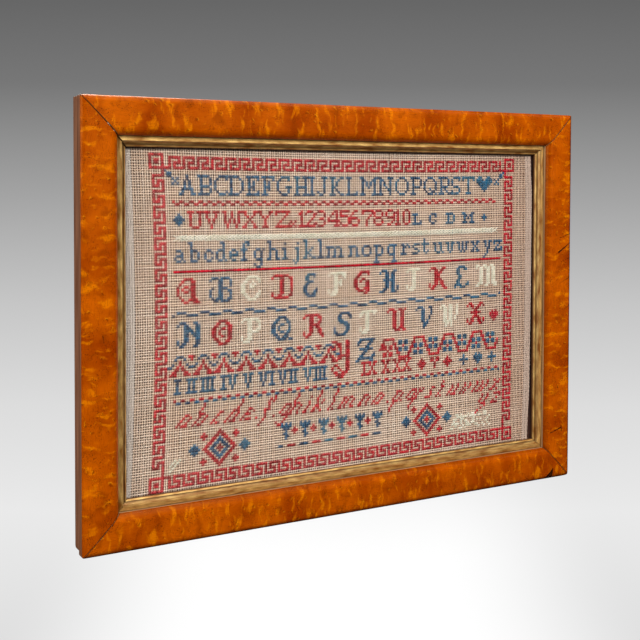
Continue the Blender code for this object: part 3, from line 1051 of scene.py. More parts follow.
# Painted shadow: a near-black line along the top of the cloth, where the slip overhangs it
painted_top_shadow = add_node(
    tree,
    "ShaderNodeMapRange",
    {0: cloth_at.outputs["Z"], 1: SIGHT_TOP - 3.2 * MM, 2: SIGHT_TOP - 1.2 * MM, 3: 0.0, 4: 0.93},
    interpolation_type="SMOOTHSTEP",
)
top_shadowed = add_node(
    tree,
    "ShaderNodeMix",
    {0: painted_top_shadow.outputs[0], 6: side_tone.outputs[2], 7: srgb("1C100C")},
    data_type="RGBA",
)
tree.links.new(top_shadowed.outputs[2], shader.inputs["Base Color"])
shader.inputs["Roughness"].default_value = 0.9
shader.inputs["Specular IOR Level"].default_value = 0.2
bumps = add_node(tree, "ShaderNodeBump", {"Strength": 0.5, "Distance": 0.15 * MM, "Height": twist.outputs[0]})
tree.links.new(bumps.outputs[0], shader.inputs["Normal"])

regular = np.arange(-7, 187, 1.0)
left_edge = np.arange(-13.9, -7.7, 0.5)
right_edge = np.arange(187.1, 190.7, 0.5)
warp_columns = np.concatenate([left_edge, regular, right_edge])
weft_rows = np.arange(-6, 135, 1.0)
threads = thread_tree()
warp = made_by_nodes(
    "canvas_warp",
    thread_lines("warp_lines", warp_columns, weft_rows, True),
    threads,
    {"Thread width": 1.2 * MM, "Thread thickness": 0.8 * MM, "Material": canvas_thread},
)
weft = made_by_nodes(
    "canvas_weft",
    thread_lines("weft_lines", warp_columns, weft_rows, False),
    threads,
    {"Thread width": 1.24 * MM, "Thread thickness": 1.03 * MM, "Material": canvas_thread},
)
for piece in (warp, weft):
    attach(piece, "root")
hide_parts("sampler_cloth")
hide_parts("sampler_cloth")

# Cross stitch
# Soft cotton embroidery thread in faded red, blue and cream, worked over one square of the
# canvas at a time: first a leg from lower left to upper right, then one across it. The key
# border, rows of alphabets, numerals and small motifs are all charted on the canvas squares.
CAPITALS = {
    "A": "...#.../...#.../..#.#../..#.#../.#####./.#...#./##...##",
    "B": "#####./.#...#/.#...#/.####./.#...#/.#...#/#####.",
    "C": "..####/.#...#/#...../#...../#...../.#...#/..###.",
    "D": "#####../.#...#./.#....#/.#....#/.#....#/.#...#./#####..",
    "E": "######/.#...#/.#.#../.###../.#.#../.#...#/######",
    "F": "######/.#...#/.#.#../.###../.#.#../.#..../###...",
    "G": "..####./.#...#./#....../#...###/#....#./.#...#./..###..",
    "H": "###.###/.#...#./.#...#./.#####./.#...#./.#...#./###.###",
    "I": "###/.#./.#./.#./.#./.#./###",
    "J": "..###/...#./...#./...#./...#./#..#./.##..",
    "K": "###..##/.#..#../.#.#.../.##..../.#.#.../.#..#../###..##",
    "L": "###.../.#..../.#..../.#..../.#..../.#...#/######",
    "M": "##.....##/.##...##./.#.#.#.#./.#..#..#./.#.....#./.#.....#./###...###",
    "N": "##...###/.##...#./.#.#..#./.#..#.#./.#...##./.#....#./###...#.",
    "O": "..###../.#...#./#.....#/#.....#/#.....#/.#...#./..###..",
    "P": "#####./.#...#/.#...#/.####./.#..../.#..../###...",
    "Q": "..###../.#...#./#.....#/#.....#/#..#..#/.#..##./..###.#",
    "R": "#####../.#...#./.#...#./.####../.#.#.../.#..#../###..##",
    "S": ".####/#...#/#..../.###./....#/#...#/####.",
    "T": "#######/#..#..#/...#.../...#.../...#.../...#.../..###..",
    "U": "###.###/.#...#./.#...#./.#...#./.#...#./.#...#./..###..",
    "V": "###.###/.#...#./.#...#./..#.#../..#.#../...#.../...#...",
    "W": "##..#..##/.#..#..#./.#..#..#./.#.#.#.#./.#.#.#.#./..#...#../..#...#..",
    "X": "##...##/.#...#./..#.#../...#.../..#.#../.#...#./##...##",
    "Y": "##...##/.#...#./..#.#../...#.../...#.../...#.../..###..",
    "Z": "#######/#....#./....#../...#.../..#..../.#....#/#######",
    "x": ".../.../.../.../#.#/.#./#.#",
    "1": ".#./##./.#./.#./.#./.#./###",
    "2": ".###./#...#/....#/...#./..#../.#..#/#####",
    "3": ".###./#...#/....#/..##./....#/#...#/.###.",
    "4": "...##./..#.#./.#..#./#...#./######/....#./...###",
    "5": "#####/#..../####./....#/....#/#...#/.###.",
    "6": "..##./.#.../#..../####./#...#/#...#/.###.",
    "7": "######/#....#/....#./...#../..#.../..#.../..#...",
    "8": ".###./#...#/#...#/.###./#...#/#...#/.###.",
    "9": ".###./#...#/#...#/.####/....#/...#./.##..",
    "0": ".##./#..#/#..#/#..#/#..#/#..#/.##.",
}
SMALL_CAPITALS = {
    "L": "###../.#.../.#.../.#..#/#####",
    "C": ".###/#..#/#.../#..#/.##.",
    "D": "####./.#..#/.#..#/.#..#/####.",
    "M": "##...##/.##.##./.#.#.#./.#...#./###.###",
}
# Lower case: rows above the small letters' height, then the rows
LOWER_CASE = {
    "a": (0, ".##../...#./.###./#..#./.##.#"),
    "b": (3, "##.../.#.../.#.../.###./.#..#/.#..#/.#..#/.###."),
    "c": (0, ".##./#..#/#.../#..#/.##."),
    "d": (3, "..##./...#./...#./.###./#..#./#..#./#..#./.##.#"),
    "e": (0, ".##./#..#/####/#.../.##."),
    "f": (3, "..##/.#.#/.#../###./.#../.#../.#../###."),
    "g": (0, ".##.#/#..#./#..#./#..#./.###./...#./#..#./.##.."),
    "h": (3, "##..../.#..../.#..../.###../.#..#./.#..#./.#..#./##..##"),
    "i": (2, ".#./.../##./.#./.#./.#./###"),
    "j": (2, "..#./..../.##./..#./..#./..#./..#./#.#./.#.."),
    "k": (3, "##..../.#..../.#..../.#..#./.#.#../.##.../.#.#../##..##"),
    "l": (3, "##./.#./.#./.#./.#./.#./.#./###"),
    "m": (0, "####.##../.#..#..#./.#..#..#./.#..#..#./##.##.###"),
    "n": (0, "####../.#..#./.#..#./.#..#./##..##"),
    "o": (0, ".###./#...#/#...#/#...#/.###."),
    "p": (0, "####../.#..#./.#..#./.#..#./.###../.#..../.#..../###..."),
    "q": (0, ".####/#..#./#..#./#..#./.###./...#./...#./..###"),
    "r": (0, "##.#./.##.#/.#.../.#.../###.."),
    "s": (0, ".###/#.../.##./...#/###."),
    "t": (2, ".#../.#../####/.#../.#../.#.#/..#."),
    "u": (0, "##.##./.#..#./.#..#./.#..#./..##.#"),
    "v": (0, "##.##/.#.#./.#.#./.#.#./..#.."),
    "w": (0, "##.#.##/.#.#.#./.#.#.#./.#.#.#./..#.#.."),
    "x": (0, "##.##/.#.#./..#../.#.#./##.##"),
    "y": (0, "##.##/.#.#./.#.#./..##./..#../..#../.#.../#...."),
    "z": (0, "#####/#..#./..#../.#..#/#####"),
}
# Running hand, joined up and leaning: rows above the small letters' height, then the rows
RUNNING_HAND = {
    "a": (0, ".##./#..#/#..#/#..#/.###"),
    "b": (4, "#.../#.../#.../#.../###./#..#/#..#/#..#/.##."),
    "c": (0, ".##/#../#../#../.##"),
    "d": (4, "...#/...#/...#/...#/.###/#..#/#..#/#..#/.###"),
    "e": (0, ".##./#..#/###./#.../.###"),
    "f": (4, "..#/.#.#/.#.#/.#../.#../###/.#../.#../.#../.#../.#../#..."),
    "g": (0, ".###/#..#/#..#/#..#/.###/...#/...#/#..#/.##."),
    "h": (4, "#.../#.../#.../#.../###./#..#/#..#/#..#/#..#"),
    "i": (2, "#/./#/#/#/#/#"),
    "k": (4, "#.../#.../#.../#.../#..#/#.#./##../#.#./#..#"),
    "l": (4, "#./#./#./#./#./#./#./#./.#"),
    "m": (0, "##.##../#.#..#./#.#..#./#.#..#./#.#..##"),
    "n": (0, "###./#..#/#..#/#..#/#..#"),
    "o": (0, ".##./#..#/#..#/#..#/.##."),
    "p": (0, "###./#..#/#..#/#..#/###./#.../#.../#.../#..."),
    "q": (0, ".###/#..#/#..#/#..#/.###/...#/...#/...#/...#"),
    "r": (0, "#.#/##./#../#../#.."),
    "s": (0, ".##/#../.#./..#/##."),
    "t": (2, "#./#./##/#./#./#./.#"),
    "u": (0, "#..#/#..#/#..#/#..#/.###"),
    "v": (0, "#..#/#..#/#..#/#.#./.#.."),
    "w": (0, "#..#..#/#..#..#/#..#..#/#..#.#./.##.#.."),
    "x": (0, "#..#/.##./.#../.##./#..#"),
    "y": (0, "#..#/#..#/#..#/#..#/.###/...#/..#./.#../#..."),
    "z": (0, "####/...#/..#./.#../####"),
}
ORNATE = {
    "A": "...####.../..#...##../.#....##../#..##.##../#.#..###../"
    "#..##.##../#.....##../.#....##../..#..####./...##..###",
    "B": ".###.####./#...##...#/....##...#/....##...#/.#..####../"
    "#...##..##/#...##...#/#...##...#/.#.###..##/..##.####.",
    "C": "...#####./..##...##/.##..#..#/##..#.#../##..##.../"
    "##......./##......#/.##....##/..##..##./...####..",
    "D": ".#######../#...##..##/....##...#/....##...#/....##...#/"
    "....##...#/....##...#/#...##...#/#..##...##/.#######..",
    "E": "...####../..##..#../..##...../...###.../..##...../"
    ".##....../.##....#./.##...##./..##.##../...####..",
    "F": ".########/#..##..##/...##...#/...##.#../...####../"
    "...##.#../...##..../#..##..../#.###..../.###.....",
    "G": "...#####./..##...#./.##....../##..##.../##.#..##./"
    "##....##./##....##./.##..###./..###.##./.....##..",
    "H": ".###...##./#..##.##../...##.##../...##.##../..######../"
    "...##.##../...##.##../...##.##.#/..##..##.#/###...###.",
    "I": ".######/#..##../...##../...##../...##../"
    "...##../...##../#..##../#.###../.###...",
    "K": ".###...##./#..##.##../...####.../...###..../...###..../"
    "...####.../...##.##../#..##.##../#.##...##./.##.....##",
    "L": "..####../.##..##./.##...../.##...../..##..../"
    "..##..../.##...../.##....#/####..##/#..###..",
    "M": "##..##..##../#.##.###.##./..##..##.##./..##..##.##./..##..##.##./"
    "..##..##.##./..##..##.##./..##..##.##./.###..##.###/##...##...##",
    "N": ".###...##./#..##...##/...###..##/...####.##/...##.####/"
    "...##..###/...##...##/#..##...##/#.##....##/.##....##.",
    "O": "...####../..##..##./.##....##/##..##.##/##.#...##/"
    "##.#...##/##..##.##/.##....##/..##..##./...####..",
    "P": ".#######./#..##..##/...##...#/...##...#/...##..##/"
    "...#####./...##..../#..##..../#.###..../.###.....",
    "Q": "...####.../..##..##../.##....##./##..##..#./##.#....#./"
    "##.#....#./##..##.##./.##...##../..##.###../...####.##",
    "R": ".#######../#..##..##./...##...#./...##..##./...#####../"
    "...##.##../...##..##./#..##..##./#.##....##/.##......#",
    "S": "...#####./..##...##/..##....#/..###..../...####../"
    ".....###./#.....##./#.....##./##...##../.#####...",
    "T": ".########/##.##..#./#..##..../...##..../...##..../"
    "...##..../...##..../#..##..../#.###..../.###.....",
    "U": ".###..##.#/#..##..##./...##..##./...##..##./...##..##./"
    "...##..##./...##..##./...##..##./...##.###./....###.##",
    "V": ".###...##/#..##...#/...##...#/...##...#/...##..#./"
    "...##..#./...##.#../....###../....##.../....#....",
    "W": ".##..##..#/#.##.##..#/..##.##..#/..##.##..#/..##.##..#/"
    "..##.##.#./..##.##.#./..#####.../...##.#.../...#..#...",
    "X": ".##....##./#.##..##.#/...#.##.../....##..../..######../"
    "....##..../...####.../#.##..##.#/#.##..##.#/.##....##.",
    "Y": ".###....##./#...#...##./#.#..#..##./.##..#..##./.....#..##./....##..##./....######./....##..##./"
    "........##./........##./..##....##./.#..#...##./.#...#..##./..##..###../...#####.../....###....",
    "Z": "..########./.##....##../.#....##.../.....##..../..#######../"
    "....##...../...##....#./..##....##./.########../##.....##..",
}
MOTIFS = {
    "heart": ".##...##./####.####/#########/.#######./..#####../...###.../....#....",
    "small heart": ".#.#./#####/#####/.###./..#..",
    "diamond": "..#../.###./#####/.###./..#..",
    "small diamond": ".#./###/.#.",
    "cross": "..#../..#../#####/..#../..#..",
    "sprig": "##.##/##.##/..#../..#../..#..",
    "tent": "....#..../....#..../...#.#.../..##.##../.##...##./###...###",
    "tulip": "#.#.#/#####/.###./..#../.##../..##./..#..",
}
CORNER_KNOT = "######/#....#/#.##.#/#.##.#/#....#/######"
NUMERAL_ARMS = {
    "V": "##.##/.#.#./.#.#./.#.#./..#../..#..",
    "X": "##.##/.#.#./..#../..#../.#.#./##.##",
}

chart = {"border_red": {}, "letters_red": {}, "letters_blue": {}, "cream": {}}


def mark(thread, column, row):
    """Marks one stitch on the chart, under whatever is already there."""
    if not any((column, row) in stitches for stitches in chart.values()):
        chart[thread][(column, row)] = 0.0


def place_glyph(thread, glyph, column, row, lean=0.0):
    """Marks a charted letter or motif by its top left corner. lean tips it, in squares a row."""
    lines = glyph.split("/")
    for down, line in enumerate(lines):
        for across, stitch in enumerate(line):
            if stitch == "#":
                mark(thread, column + across + round(lean * (len(lines) - 1 - down)), row + down)


def glyph_width(glyph):
    return max(len(line) for line in glyph.split("/"))


def place_row(threads, letters, first, last, row, rises=None):
    """Spaces a row of letters evenly between two columns, its threads taken in turn."""
    spare = last - first + 1 - sum(glyph_width(glyph) for glyph in letters)
    column = float(first)
    for index, glyph in enumerate(letters):
        rise = rises[index] if rises else 0
        place_glyph(threads[index % len(threads)], glyph, round(column), row - rise)
        column += glyph_width(glyph) + spare / (len(letters) - 1)


def taller(glyph):
    """The same letter one square taller, its third row worked twice."""
    lines = glyph.split("/")
    return "/".join(lines[:3] + lines[2:])


def numeral(letters):
    """A roman numeral six squares high, with strokes that share their serifs."""
    rows = [""] * 6
    runs = letters.replace("V", " V ").replace("X", " X ").split()
    for run in runs:
        if run in ("V", "X"):
            run_rows = NUMERAL_ARMS[run].split("/")
        else:
            bar = "#" * (2 * len(run) + 1)
            run_rows = [bar] + [".#" * len(run) + "."] * 4 + [bar]
        rows = [row + more for row, more in zip(rows, run_rows)]
    return "/".join(rows)


def medallion(column, row, rings):
    """A diamond of nested rings: (thread, how far from the middle)."""
    for thread, reach in rings:
        for across in range(-reach, reach + 1):
            for down in (-(reach - abs(across)), reach - abs(across)):
                mark(thread, column + across, row + down)


# Key border: a corner knot at each corner and keys of six squares between them
KEY_COLUMNS = range(8, 170, 6)
KEY_ROWS = range(8, 122, 6)
top_key = [(0, down) for down in range(5)] + [(across, 0) for across in range(1, 5)]
top_key += [(4, 1), (4, 2), (3, 2), (2, 2), (2, 3)] + [(across, 4) for across in range(2, 7)]
border = set()
for column in KEY_COLUMNS:
    border |= {(column + across, 1 + down) for across, down in top_key}
border |= {(170, 1 + down) for down in range(5)}
border |= {(across, 5) for across in (*range(6, 9), 171, 172)}
border |= {(column, 129 - row) for column, row in border}
side_border = set()
for row in KEY_ROWS:
    side_border |= {(1 + down, row + across) for across, down in top_key}
side_border |= {(5, row) for row in (6, 7, 122, 123)}
border |= side_border | {(178 - column, row) for column, row in side_border}
for column, row in sorted(border):
    mark("border_red", column, row)
for column in (0, 173):
    for row in (0, 124):
        place_glyph("border_red", CORNER_KNOT, column, row)

# First alphabet in blue, with a heart, and a diamond and a small cross in both upper corners
first_row = [taller(CAPITALS[c]) for c in "ABCDEFGHIJKLMNOPQRST"]
place_row(["letters_blue"], [*first_row, MOTIFS["heart"]], 12, 165, 8)
for outer, inner, cross in ((6, 7, 9), (172, 170, 167)):
    mark("letters_blue", outer, 6)
    place_glyph("letters_blue", "##/##", inner, 7)
    place_glyph("letters_blue", "#.#/.#./#.#", cross, 9)
# Red zigzag
for column in range(9, 168):
    mark("letters_red", column, 18 + (0, 0, 1, 1)[column % 4])
# Capitals and numerals in red, four small blue capitals and two diamonds
place_glyph("letters_blue", MOTIFS["diamond"], 9, 23)
place_row(["letters_red"], [CAPITALS[c] for c in "UVWXYZx1234567891"], 15, 115, 22)
place_glyph("letters_red", CAPITALS["0"], 117, 22)
place_row(["letters_blue"], [SMALL_CAPITALS[c] for c in "LCDM"], 122, 155, 24)
place_glyph("letters_blue", MOTIFS["small diamond"], 160, 25)
# Lower case in blue, over a straight red line
letters = [LOWER_CASE[c] for c in "abcdefghijklmnopqrstuvwxyz"]
place_row(["letters_blue"], [glyph for _, glyph in letters], 9, 171, 37, [rise for rise, _ in letters])
# Ornate capitals in red, blue and cream, parted by wavy blue dashes
place_row(["letters_red", "letters_blue", "cream"], [ORNATE[c] for c in "ABCDEFGHIKLM"], 10, 168, 48)
for column in range(8, 171):
    if column % 10 < 4:
        mark("letters_blue", column, 61)
    elif column % 10 in (4, 5, 6, 7, 8):
        mark("letters_blue", column, 62)
threads_used = {"r": "letters_red", "b": "letters_blue", "c": "cream"}
second_threads = [threads_used[thread] for thread in "brcbrbcrbcr"]
place_row(second_threads, [ORNATE[c] for c in "NOPQRSTUVWX"], 10, 161, 65)
place_glyph("letters_red", MOTIFS["small heart"], 165, 69)
# Red tents under a blue wave on the left
for index in range(8):
    middle = round(11 + 9.7 * index)
    place_glyph("letters_red", MOTIFS["tent"], middle - 4, 80)
    for across in range(-5, 6):
        drop = round(1.9 - 2.1 * math.cos(2 * math.pi * across / 9.7))
        mark("letters_blue", middle + across, 78 + max(drop, 0))
    place_glyph("letters_red", "###/.#.", middle + 4, 78)
# A red wave round blue flowers on the right
place_glyph("letters_red", ORNATE["Y"], 80, 77)
place_glyph("letters_blue", ORNATE["Z"], 93, 77)
for index in range(8):
    middle = 109 + 8 * index
    high = index % 2 == 1
    thread = "letters_red" if index == 0 else "letters_blue"
    top = 79 if high else 81
    place_glyph(thread, "##.##/##.##/...../##.##/##.##", middle - 2, top)
    mark("letters_red", middle, top + 2)
last_row = 82
for column in range(105, 170):
    index, across = divmod(column - 105, 8)
    bow = 4.0 * min(1.0, 1.5 * math.cos(math.pi * (across - 4) / 8))
    row = round(82 + (bow if index % 2 else -bow))
    for step in range(min(row, last_row), max(row, last_row) + 1):
        mark("letters_red", column, step)
    last_row = row
# Numerals in blue and red, with small motifs
blue_numerals = [numeral(count) for count in ("I", "II", "III", "IV", "V", "VI", "VII", "VIII")]
place_row(["letters_blue"], blue_numerals, 9, 78, 87)
place_row(["letters_red"], [numeral(count) for count in ("IX", "X", "XX")], 96, 121, 87)
place_row(["letters_red"], [MOTIFS[m] for m in ("diamond", "sprig", "diamond")], 125, 143, 88)
place_row(["letters_blue"], [MOTIFS[m] for m in ("cross", "small heart", "cross")], 148, 168, 88)
# Double row of dashes in red over blue
for column in range(9, 171):
    if column % 4 < 2:
        mark("letters_red", column, 95)
    else:
        mark("letters_blue", column, 96)
# Running hand in red
column = 11.0
for name in "abcdefghiklmnopqrstuvwx":
    rise, glyph = RUNNING_HAND[name]
    place_glyph("letters_red", glyph, round(column), 101 - rise, 0.5)
    mark("letters_red", round(column) - 1, 105)
    column += glyph_width(glyph) + 3.25
for name, left in (("y", 157), ("z", 166)):
    place_glyph("letters_red", RUNNING_HAND[name][1], left, 107, 0.5)

# Lower band: two medallions of nested diamonds, a row of tulips and a line of dashes
for middle in (29, 130):
    rings = [("letters_red", 7), ("letters_red", 6), ("letters_blue", 4), ("letters_blue", 3)]
    medallion(middle, 115, [*rings, ("letters_red", 1)])
    mark("letters_red", middle, 115)
    for way in (-1, 1):
        place_glyph("letters_blue", MOTIFS["diamond"], middle + way * 11 - 2, 113)
        place_glyph("letters_red", MOTIFS["small diamond"], middle + way * 7 - 1, 109)
        place_glyph("letters_red", MOTIFS["small diamond"], middle + way * 7 - 1, 119)
for index in range(6):
    place_glyph("letters_blue", MOTIFS["tulip"], 57 + 9 * index, 109)
    if index < 5:
        place_glyph("letters_red", MOTIFS["small diamond"], 62 + 9 * index, 111)
for column in range(56, 107):
    if column % 6 < 4:
        mark("letters_blue" if column // 6 % 2 else "letters_red", column, 118)
# Small faded marks in cream near both lower corners
cream_marks = random.Random(5)
for column in range(143, 166):
    for row in range(115, 122):
        if cream_marks.random() < 0.4:
            mark("cream", column, row)
for column, row in ((8, 120), (9, 119), (9, 121), (10, 118), (10, 120), (11, 119), (12, 118), (8, 122)):
    mark("cream", column, row)


def stitch_tree():
    """Geometry nodes: one stitch on each point, of two crossed legs, then made real."""
    tree = bpy.data.node_groups.new("cross_stitches", "GeometryNodeTree")
    given = node_inputs(
        tree,
        (
            ("Geometry", "NodeSocketGeometry", None),
            ("Half width", "NodeSocketFloat", SQUARE_WIDTH / 2),
            ("Half height", "NodeSocketFloat", SQUARE_HEIGHT / 2),
            ("Thread radius", "NodeSocketFloat", 0.42 * MM),
            ("Under rise", "NodeSocketFloat", 0.9 * MM),
            ("Over rise", "NodeSocketFloat", 2.0 * MM),
            ("Sink", "NodeSocketFloat", 0.5 * MM),
            ("Seed", "NodeSocketInt", 1),
            ("Material", "NodeSocketMaterial", None),
        ),
    )
    section = add_node(
        tree, "GeometryNodeCurvePrimitiveCircle", {"Resolution": 4, "Radius": given.outputs["Thread radius"]}
    )
    legs = []
    for way, rise in ((1.0, "Under rise"), (-1.0, "Over rise")):
        foot_x = add_node(
            tree,
            "ShaderNodeMath",
            {0: given.outputs["Half width"], 1: -way},
            operation="MULTIPLY",
        )
        head_x = add_node(
            tree,
            "ShaderNodeMath",
            {0: given.outputs["Half width"], 1: way},
            operation="MULTIPLY",
        )
        foot_z = add_node(
            tree,
            "ShaderNodeMath",
            {0: given.outputs["Half height"], 1: -1.0},
            operation="MULTIPLY",
        )
        up = add_node(tree, "ShaderNodeMath", {0: given.outputs[rise], 1: -1.0}, operation="MULTIPLY")
        foot = add_node(
            tree,
            "ShaderNodeCombineXYZ",
            {"X": foot_x.outputs[0], "Y": given.outputs["Sink"], "Z": foot_z.outputs[0]},
        )
        head = add_node(
            tree,
            "ShaderNodeCombineXYZ",
            {"X": head_x.outputs[0], "Y": given.outputs["Sink"], "Z": given.outputs["Half height"]},
        )
        over = add_node(tree, "ShaderNodeCombineXYZ", {"Y": up.outputs[0]})
        arch = add_node(
            tree,
            "GeometryNodeCurveQuadraticBezier",
            {"Resolution": 5, "Start": foot.outputs[0], "Middle": over.outputs[0], "End": head.outputs[0]},
        )
        leg = add_node(
            tree,
            "GeometryNodeCurveToMesh",
            {"Curve": arch.outputs["Curve"], "Profile Curve": section.outputs["Curve"], "Fill Caps": True},
        )
        legs.append(leg.outputs["Mesh"])
    pair = tree.nodes.new("GeometryNodeJoinGeometry")
    for leg in legs:
        tree.links.new(leg, pair.inputs[0])
    jitter = add_node(
        tree,
        "FunctionNodeRandomValue",
        {"Min": (0.0, -0.1, 0.0), "Max": (0.0, 0.1, 0.0), "Seed": given.outputs["Seed"]},
        data_type="FLOAT_VECTOR",
    )
    turn = add_node(tree, "FunctionNodeEulerToRotation", {"Euler": jitter.outputs[0]})
    swell = add_node(
        tree,
        "FunctionNodeRandomValue",
        {"Min": (0.93, 0.85, 0.93), "Max": (1.05, 1.15, 1.05), "Seed": given.outputs["Seed"]},
        data_type="FLOAT_VECTOR",
    )
    placed = add_node(
        tree,
        "GeometryNodeInstanceOnPoints",
        {
            "Points": given.outputs["Geometry"],
            "Instance": pair.outputs[0],
            "Rotation": turn.outputs[0],
            "Scale": swell.outputs[0],
        },
    )
    return finish_tree(tree, placed.outputs["Instances"], given.outputs["Material"])


def thread_material(name, dark, light, faded):
    """Stranded cotton: dull, with fine twist lines, some stitches darker and some faded."""
    material, tree, shader = new_material(name)
    place = add_node(tree, "ShaderNodeTexCoord").outputs["Object"]
    tint = add_node(tree, "ShaderNodeAttribute", attribute_name="tint")
    fade = add_node(tree, "ShaderNodeTexNoise", {"Vector": place, "Scale": 25.0, "Detail": 2.0})
    dye = add_node(tree, "ShaderNodeValToRGB", {0: tint.outputs["Fac"]})
    dye.color_ramp.elements[0].color = srgb(dark)
    dye.color_ramp.elements[1].color = srgb(light)
    fade_mask = add_node(tree, "ShaderNodeMapRange", {0: fade.outputs[0], 1: 0.5, 2: 0.75, 3: 0.0, 4: 0.45})
    aged = add_node(
        tree, "ShaderNodeMix", {0: fade_mask.outputs[0], 6: dye.outputs[0], 7: srgb(faded)}, data_type="RGBA"
    )
    tree.links.new(aged.outputs[2], shader.inputs["Base Color"])
    shader.inputs["Roughness"].default_value = 0.75
    shader.inputs["Specular IOR Level"].default_value = 0.25
    # Twisted strands, about 0.4 mm apart
    strands = add_node(tree, "ShaderNodeTexNoise", {"Vector": place, "Scale": 2400.0, "Detail": 1.0})
    bumps = add_node(
        tree, "ShaderNodeBump", {"Strength": 0.5, "Distance": 0.15 * MM, "Height": strands.outputs[0]}
    )
    tree.links.new(bumps.outputs[0], shader.inputs["Normal"])
    return material


STITCH_RISE = 0.92 * MM


def stitch_points(name, stitches, seed):
    """A guide mesh of loose points, one on each charted square, with a tint for each."""
    chance = np.random.default_rng(seed)
    squares = np.array(sorted(stitches), dtype=float)
    x, y, z = canvas_place(squares[:, 0], squares[:, 1])
    points = np.stack([x, y - STITCH_RISE, z], axis=-1)
    mesh = bpy.data.meshes.new(name)
    mesh.vertices.add(len(points))
    mesh.vertices.foreach_set("co", points.ravel())
    tint = mesh.attributes.new("tint", "FLOAT", "POINT")
    tint.data.foreach_set("value", chance.uniform(0, 1, len(points)))
    mesh.update()
    return mesh


# Each dye at its darkest and its lightest, and where it has faded
red = thread_material("faded_turkey_red_cotton", "84061A", "DC1632", "C83248")
blue = thread_material("faded_indigo_cotton", "0C3656", "2A769C", "4296A6")
cream = thread_material("bleached_cream_cotton", "DCD8C0", "F8F4E2", "C4CEBC")
stitcher = stitch_tree()
for seed, (name, material) in enumerate(
    (("border_red", red), ("letters_red", red), ("letters_blue", blue), ("cream", cream))
):
    piece = made_by_nodes(
        f"stitches_{name}",
        stitch_points(name, chart[name], seed),
        stitcher,
        {"Seed": seed, "Material": material},
    )
    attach(piece, "root")

# A cream plait of long overlapping crosses, and a thin straight line in red
plait = {(10.5 + 1.7 * step, 32.0): 0.0 for step in range(93)}
red_line = {(9.5 + 2.0 * step, 45.0): 0.0 for step in range(81)}
for name, material, stitches, half_width, half_height, radius in (
    ("plait", cream, plait, 1.9 * SQUARE_WIDTH, 1.15 * SQUARE_HEIGHT, 0.46 * MM),
    ("red_line", red, red_line, 1.1 * SQUARE_WIDTH, 0.3 * SQUARE_HEIGHT, 0.7 * MM),
):
    piece = made_by_nodes(
        f"stitches_{name}",
        stitch_points(name, stitches, 9),
        stitcher,
        {
            "Half width": half_width,
            "Half height": half_height,
            "Thread radius": radius,
            "Seed": 9,
            "Material": material,
        },
    )
    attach(piece, "root")

# Floor, light and camera
# A pale floor that sweeps up far behind the frame, soft light from above and to the left, and a
# camera to the left of the frame at the photograph's angle.
CAMERA_PLACE = (-0.5997, -0.9961, -0.0653)
YAW = math.radians(29.65)
PITCH = math.radians(1.87)
ROLL = math.radians(-0.16)
FLOOR_Z = -1.15
WALL_AT = 2.6
SWEEP_RADIUS = 1.0
PAPER_STRIPS = 16
LENS = 60.58
LENS_DROP = -0.16

# The paper runs level under the frame, then curves up into a wall. Its own map counts metres
# across the roll from its middle, and metres along it from its near edge.
sweep_line = [(-3.0 + 0.2 * step, FLOOR_Z) for step in range(24)]
for step in range(25):
    angle = math.pi / 2 * step / 24
    ahead = WALL_AT - SWEEP_RADIUS * (1 - math.sin(angle))
    sweep_line.append((ahead, FLOOR_Z + SWEEP_RADIUS * (1 - math.cos(angle))))
sweep_line += [(WALL_AT, FLOOR_Z + SWEEP_RADIUS + 0.1 * step) for step in range(1, 30)]
sweep_points = []
paper_places = []
run_length = 0.0
before = sweep_line[0]
for ahead, height in sweep_line:
    run_length += math.hypot(ahead - before[0], height - before[1])
    before = (ahead, height)
    for step in range(PAPER_STRIPS + 1):
        across = -4.0 + 0.5 * step
        x = ahead * math.sin(YAW) + across * math.cos(YAW)
        y = ahead * math.cos(YAW) - across * math.sin(YAW)
        sweep_points.append((x, y, height))
        paper_places.append((across, run_length))
sweep_faces = []
for row in range(len(sweep_line) - 1):
    for step in range(PAPER_STRIPS):
        low = row * (PAPER_STRIPS + 1) + step
        high = low + PAPER_STRIPS + 1
        sweep_faces.append((low, low + 1, high + 1, high))
mesh = bpy.data.meshes.new("paper_sweep")
mesh.from_pydata(sweep_points, [], sweep_faces)
mesh.shade_smooth()
paper_map = mesh.uv_layers.new(name="paper")
corner_places = [paper_places[vertex] for face in sweep_faces for vertex in face]
paper_map.data.foreach_set("uv", np.array(corner_places, dtype=np.float32).ravel())
sweep = new_object("paper_sweep", mesh)
# Matt studio paper that glows: its emission is painted light, near white under the frame with a painted pool
# of light in the middle, and mid grey at the top. Each shade stands at its place along the roll, in metres.
PAPER_SHADES = (
    (4.36, "DDDDDD"),
    (4.75, "E3E3E3"),
    (5.05, "E8E8E8"),
    (5.46, "DBDBDB"),
    (5.83, "C4C4C4"),
    (6.2, "A2A2A2"),
    (6.6, "747474"),
    (6.9, "626262"),
)
paper, tree, shader = new_material("graded_studio_paper")
paper_uv = add_node(tree, "ShaderNodeUVMap", uv_map="paper")
paper_at = add_node(tree, "ShaderNodeSeparateXYZ", {0: paper_uv.outputs["UV"]})
first_shade = PAPER_SHADES[0][0]
last_shade = PAPER_SHADES[-1][0]
grade = add_node(
    tree, "ShaderNodeMapRange", {0: paper_at.outputs["Y"], 1: first_shade, 2: last_shade}
)
shade = add_node(tree, "ShaderNodeValToRGB", {0: grade.outputs[0]})
for index, (place, code) in enumerate(PAPER_SHADES):
    elements = shade.color_ramp.elements
    stop = elements[index] if index < 2 else elements.new(1.0)
    stop.position = (place - first_shade) / (last_shade - first_shade)
    stop.color = srgb(code)
off_middle = add_node(tree, "ShaderNodeMath", {0: paper_at.outputs["X"]}, operation="ABSOLUTE")
painted_light_pool = None
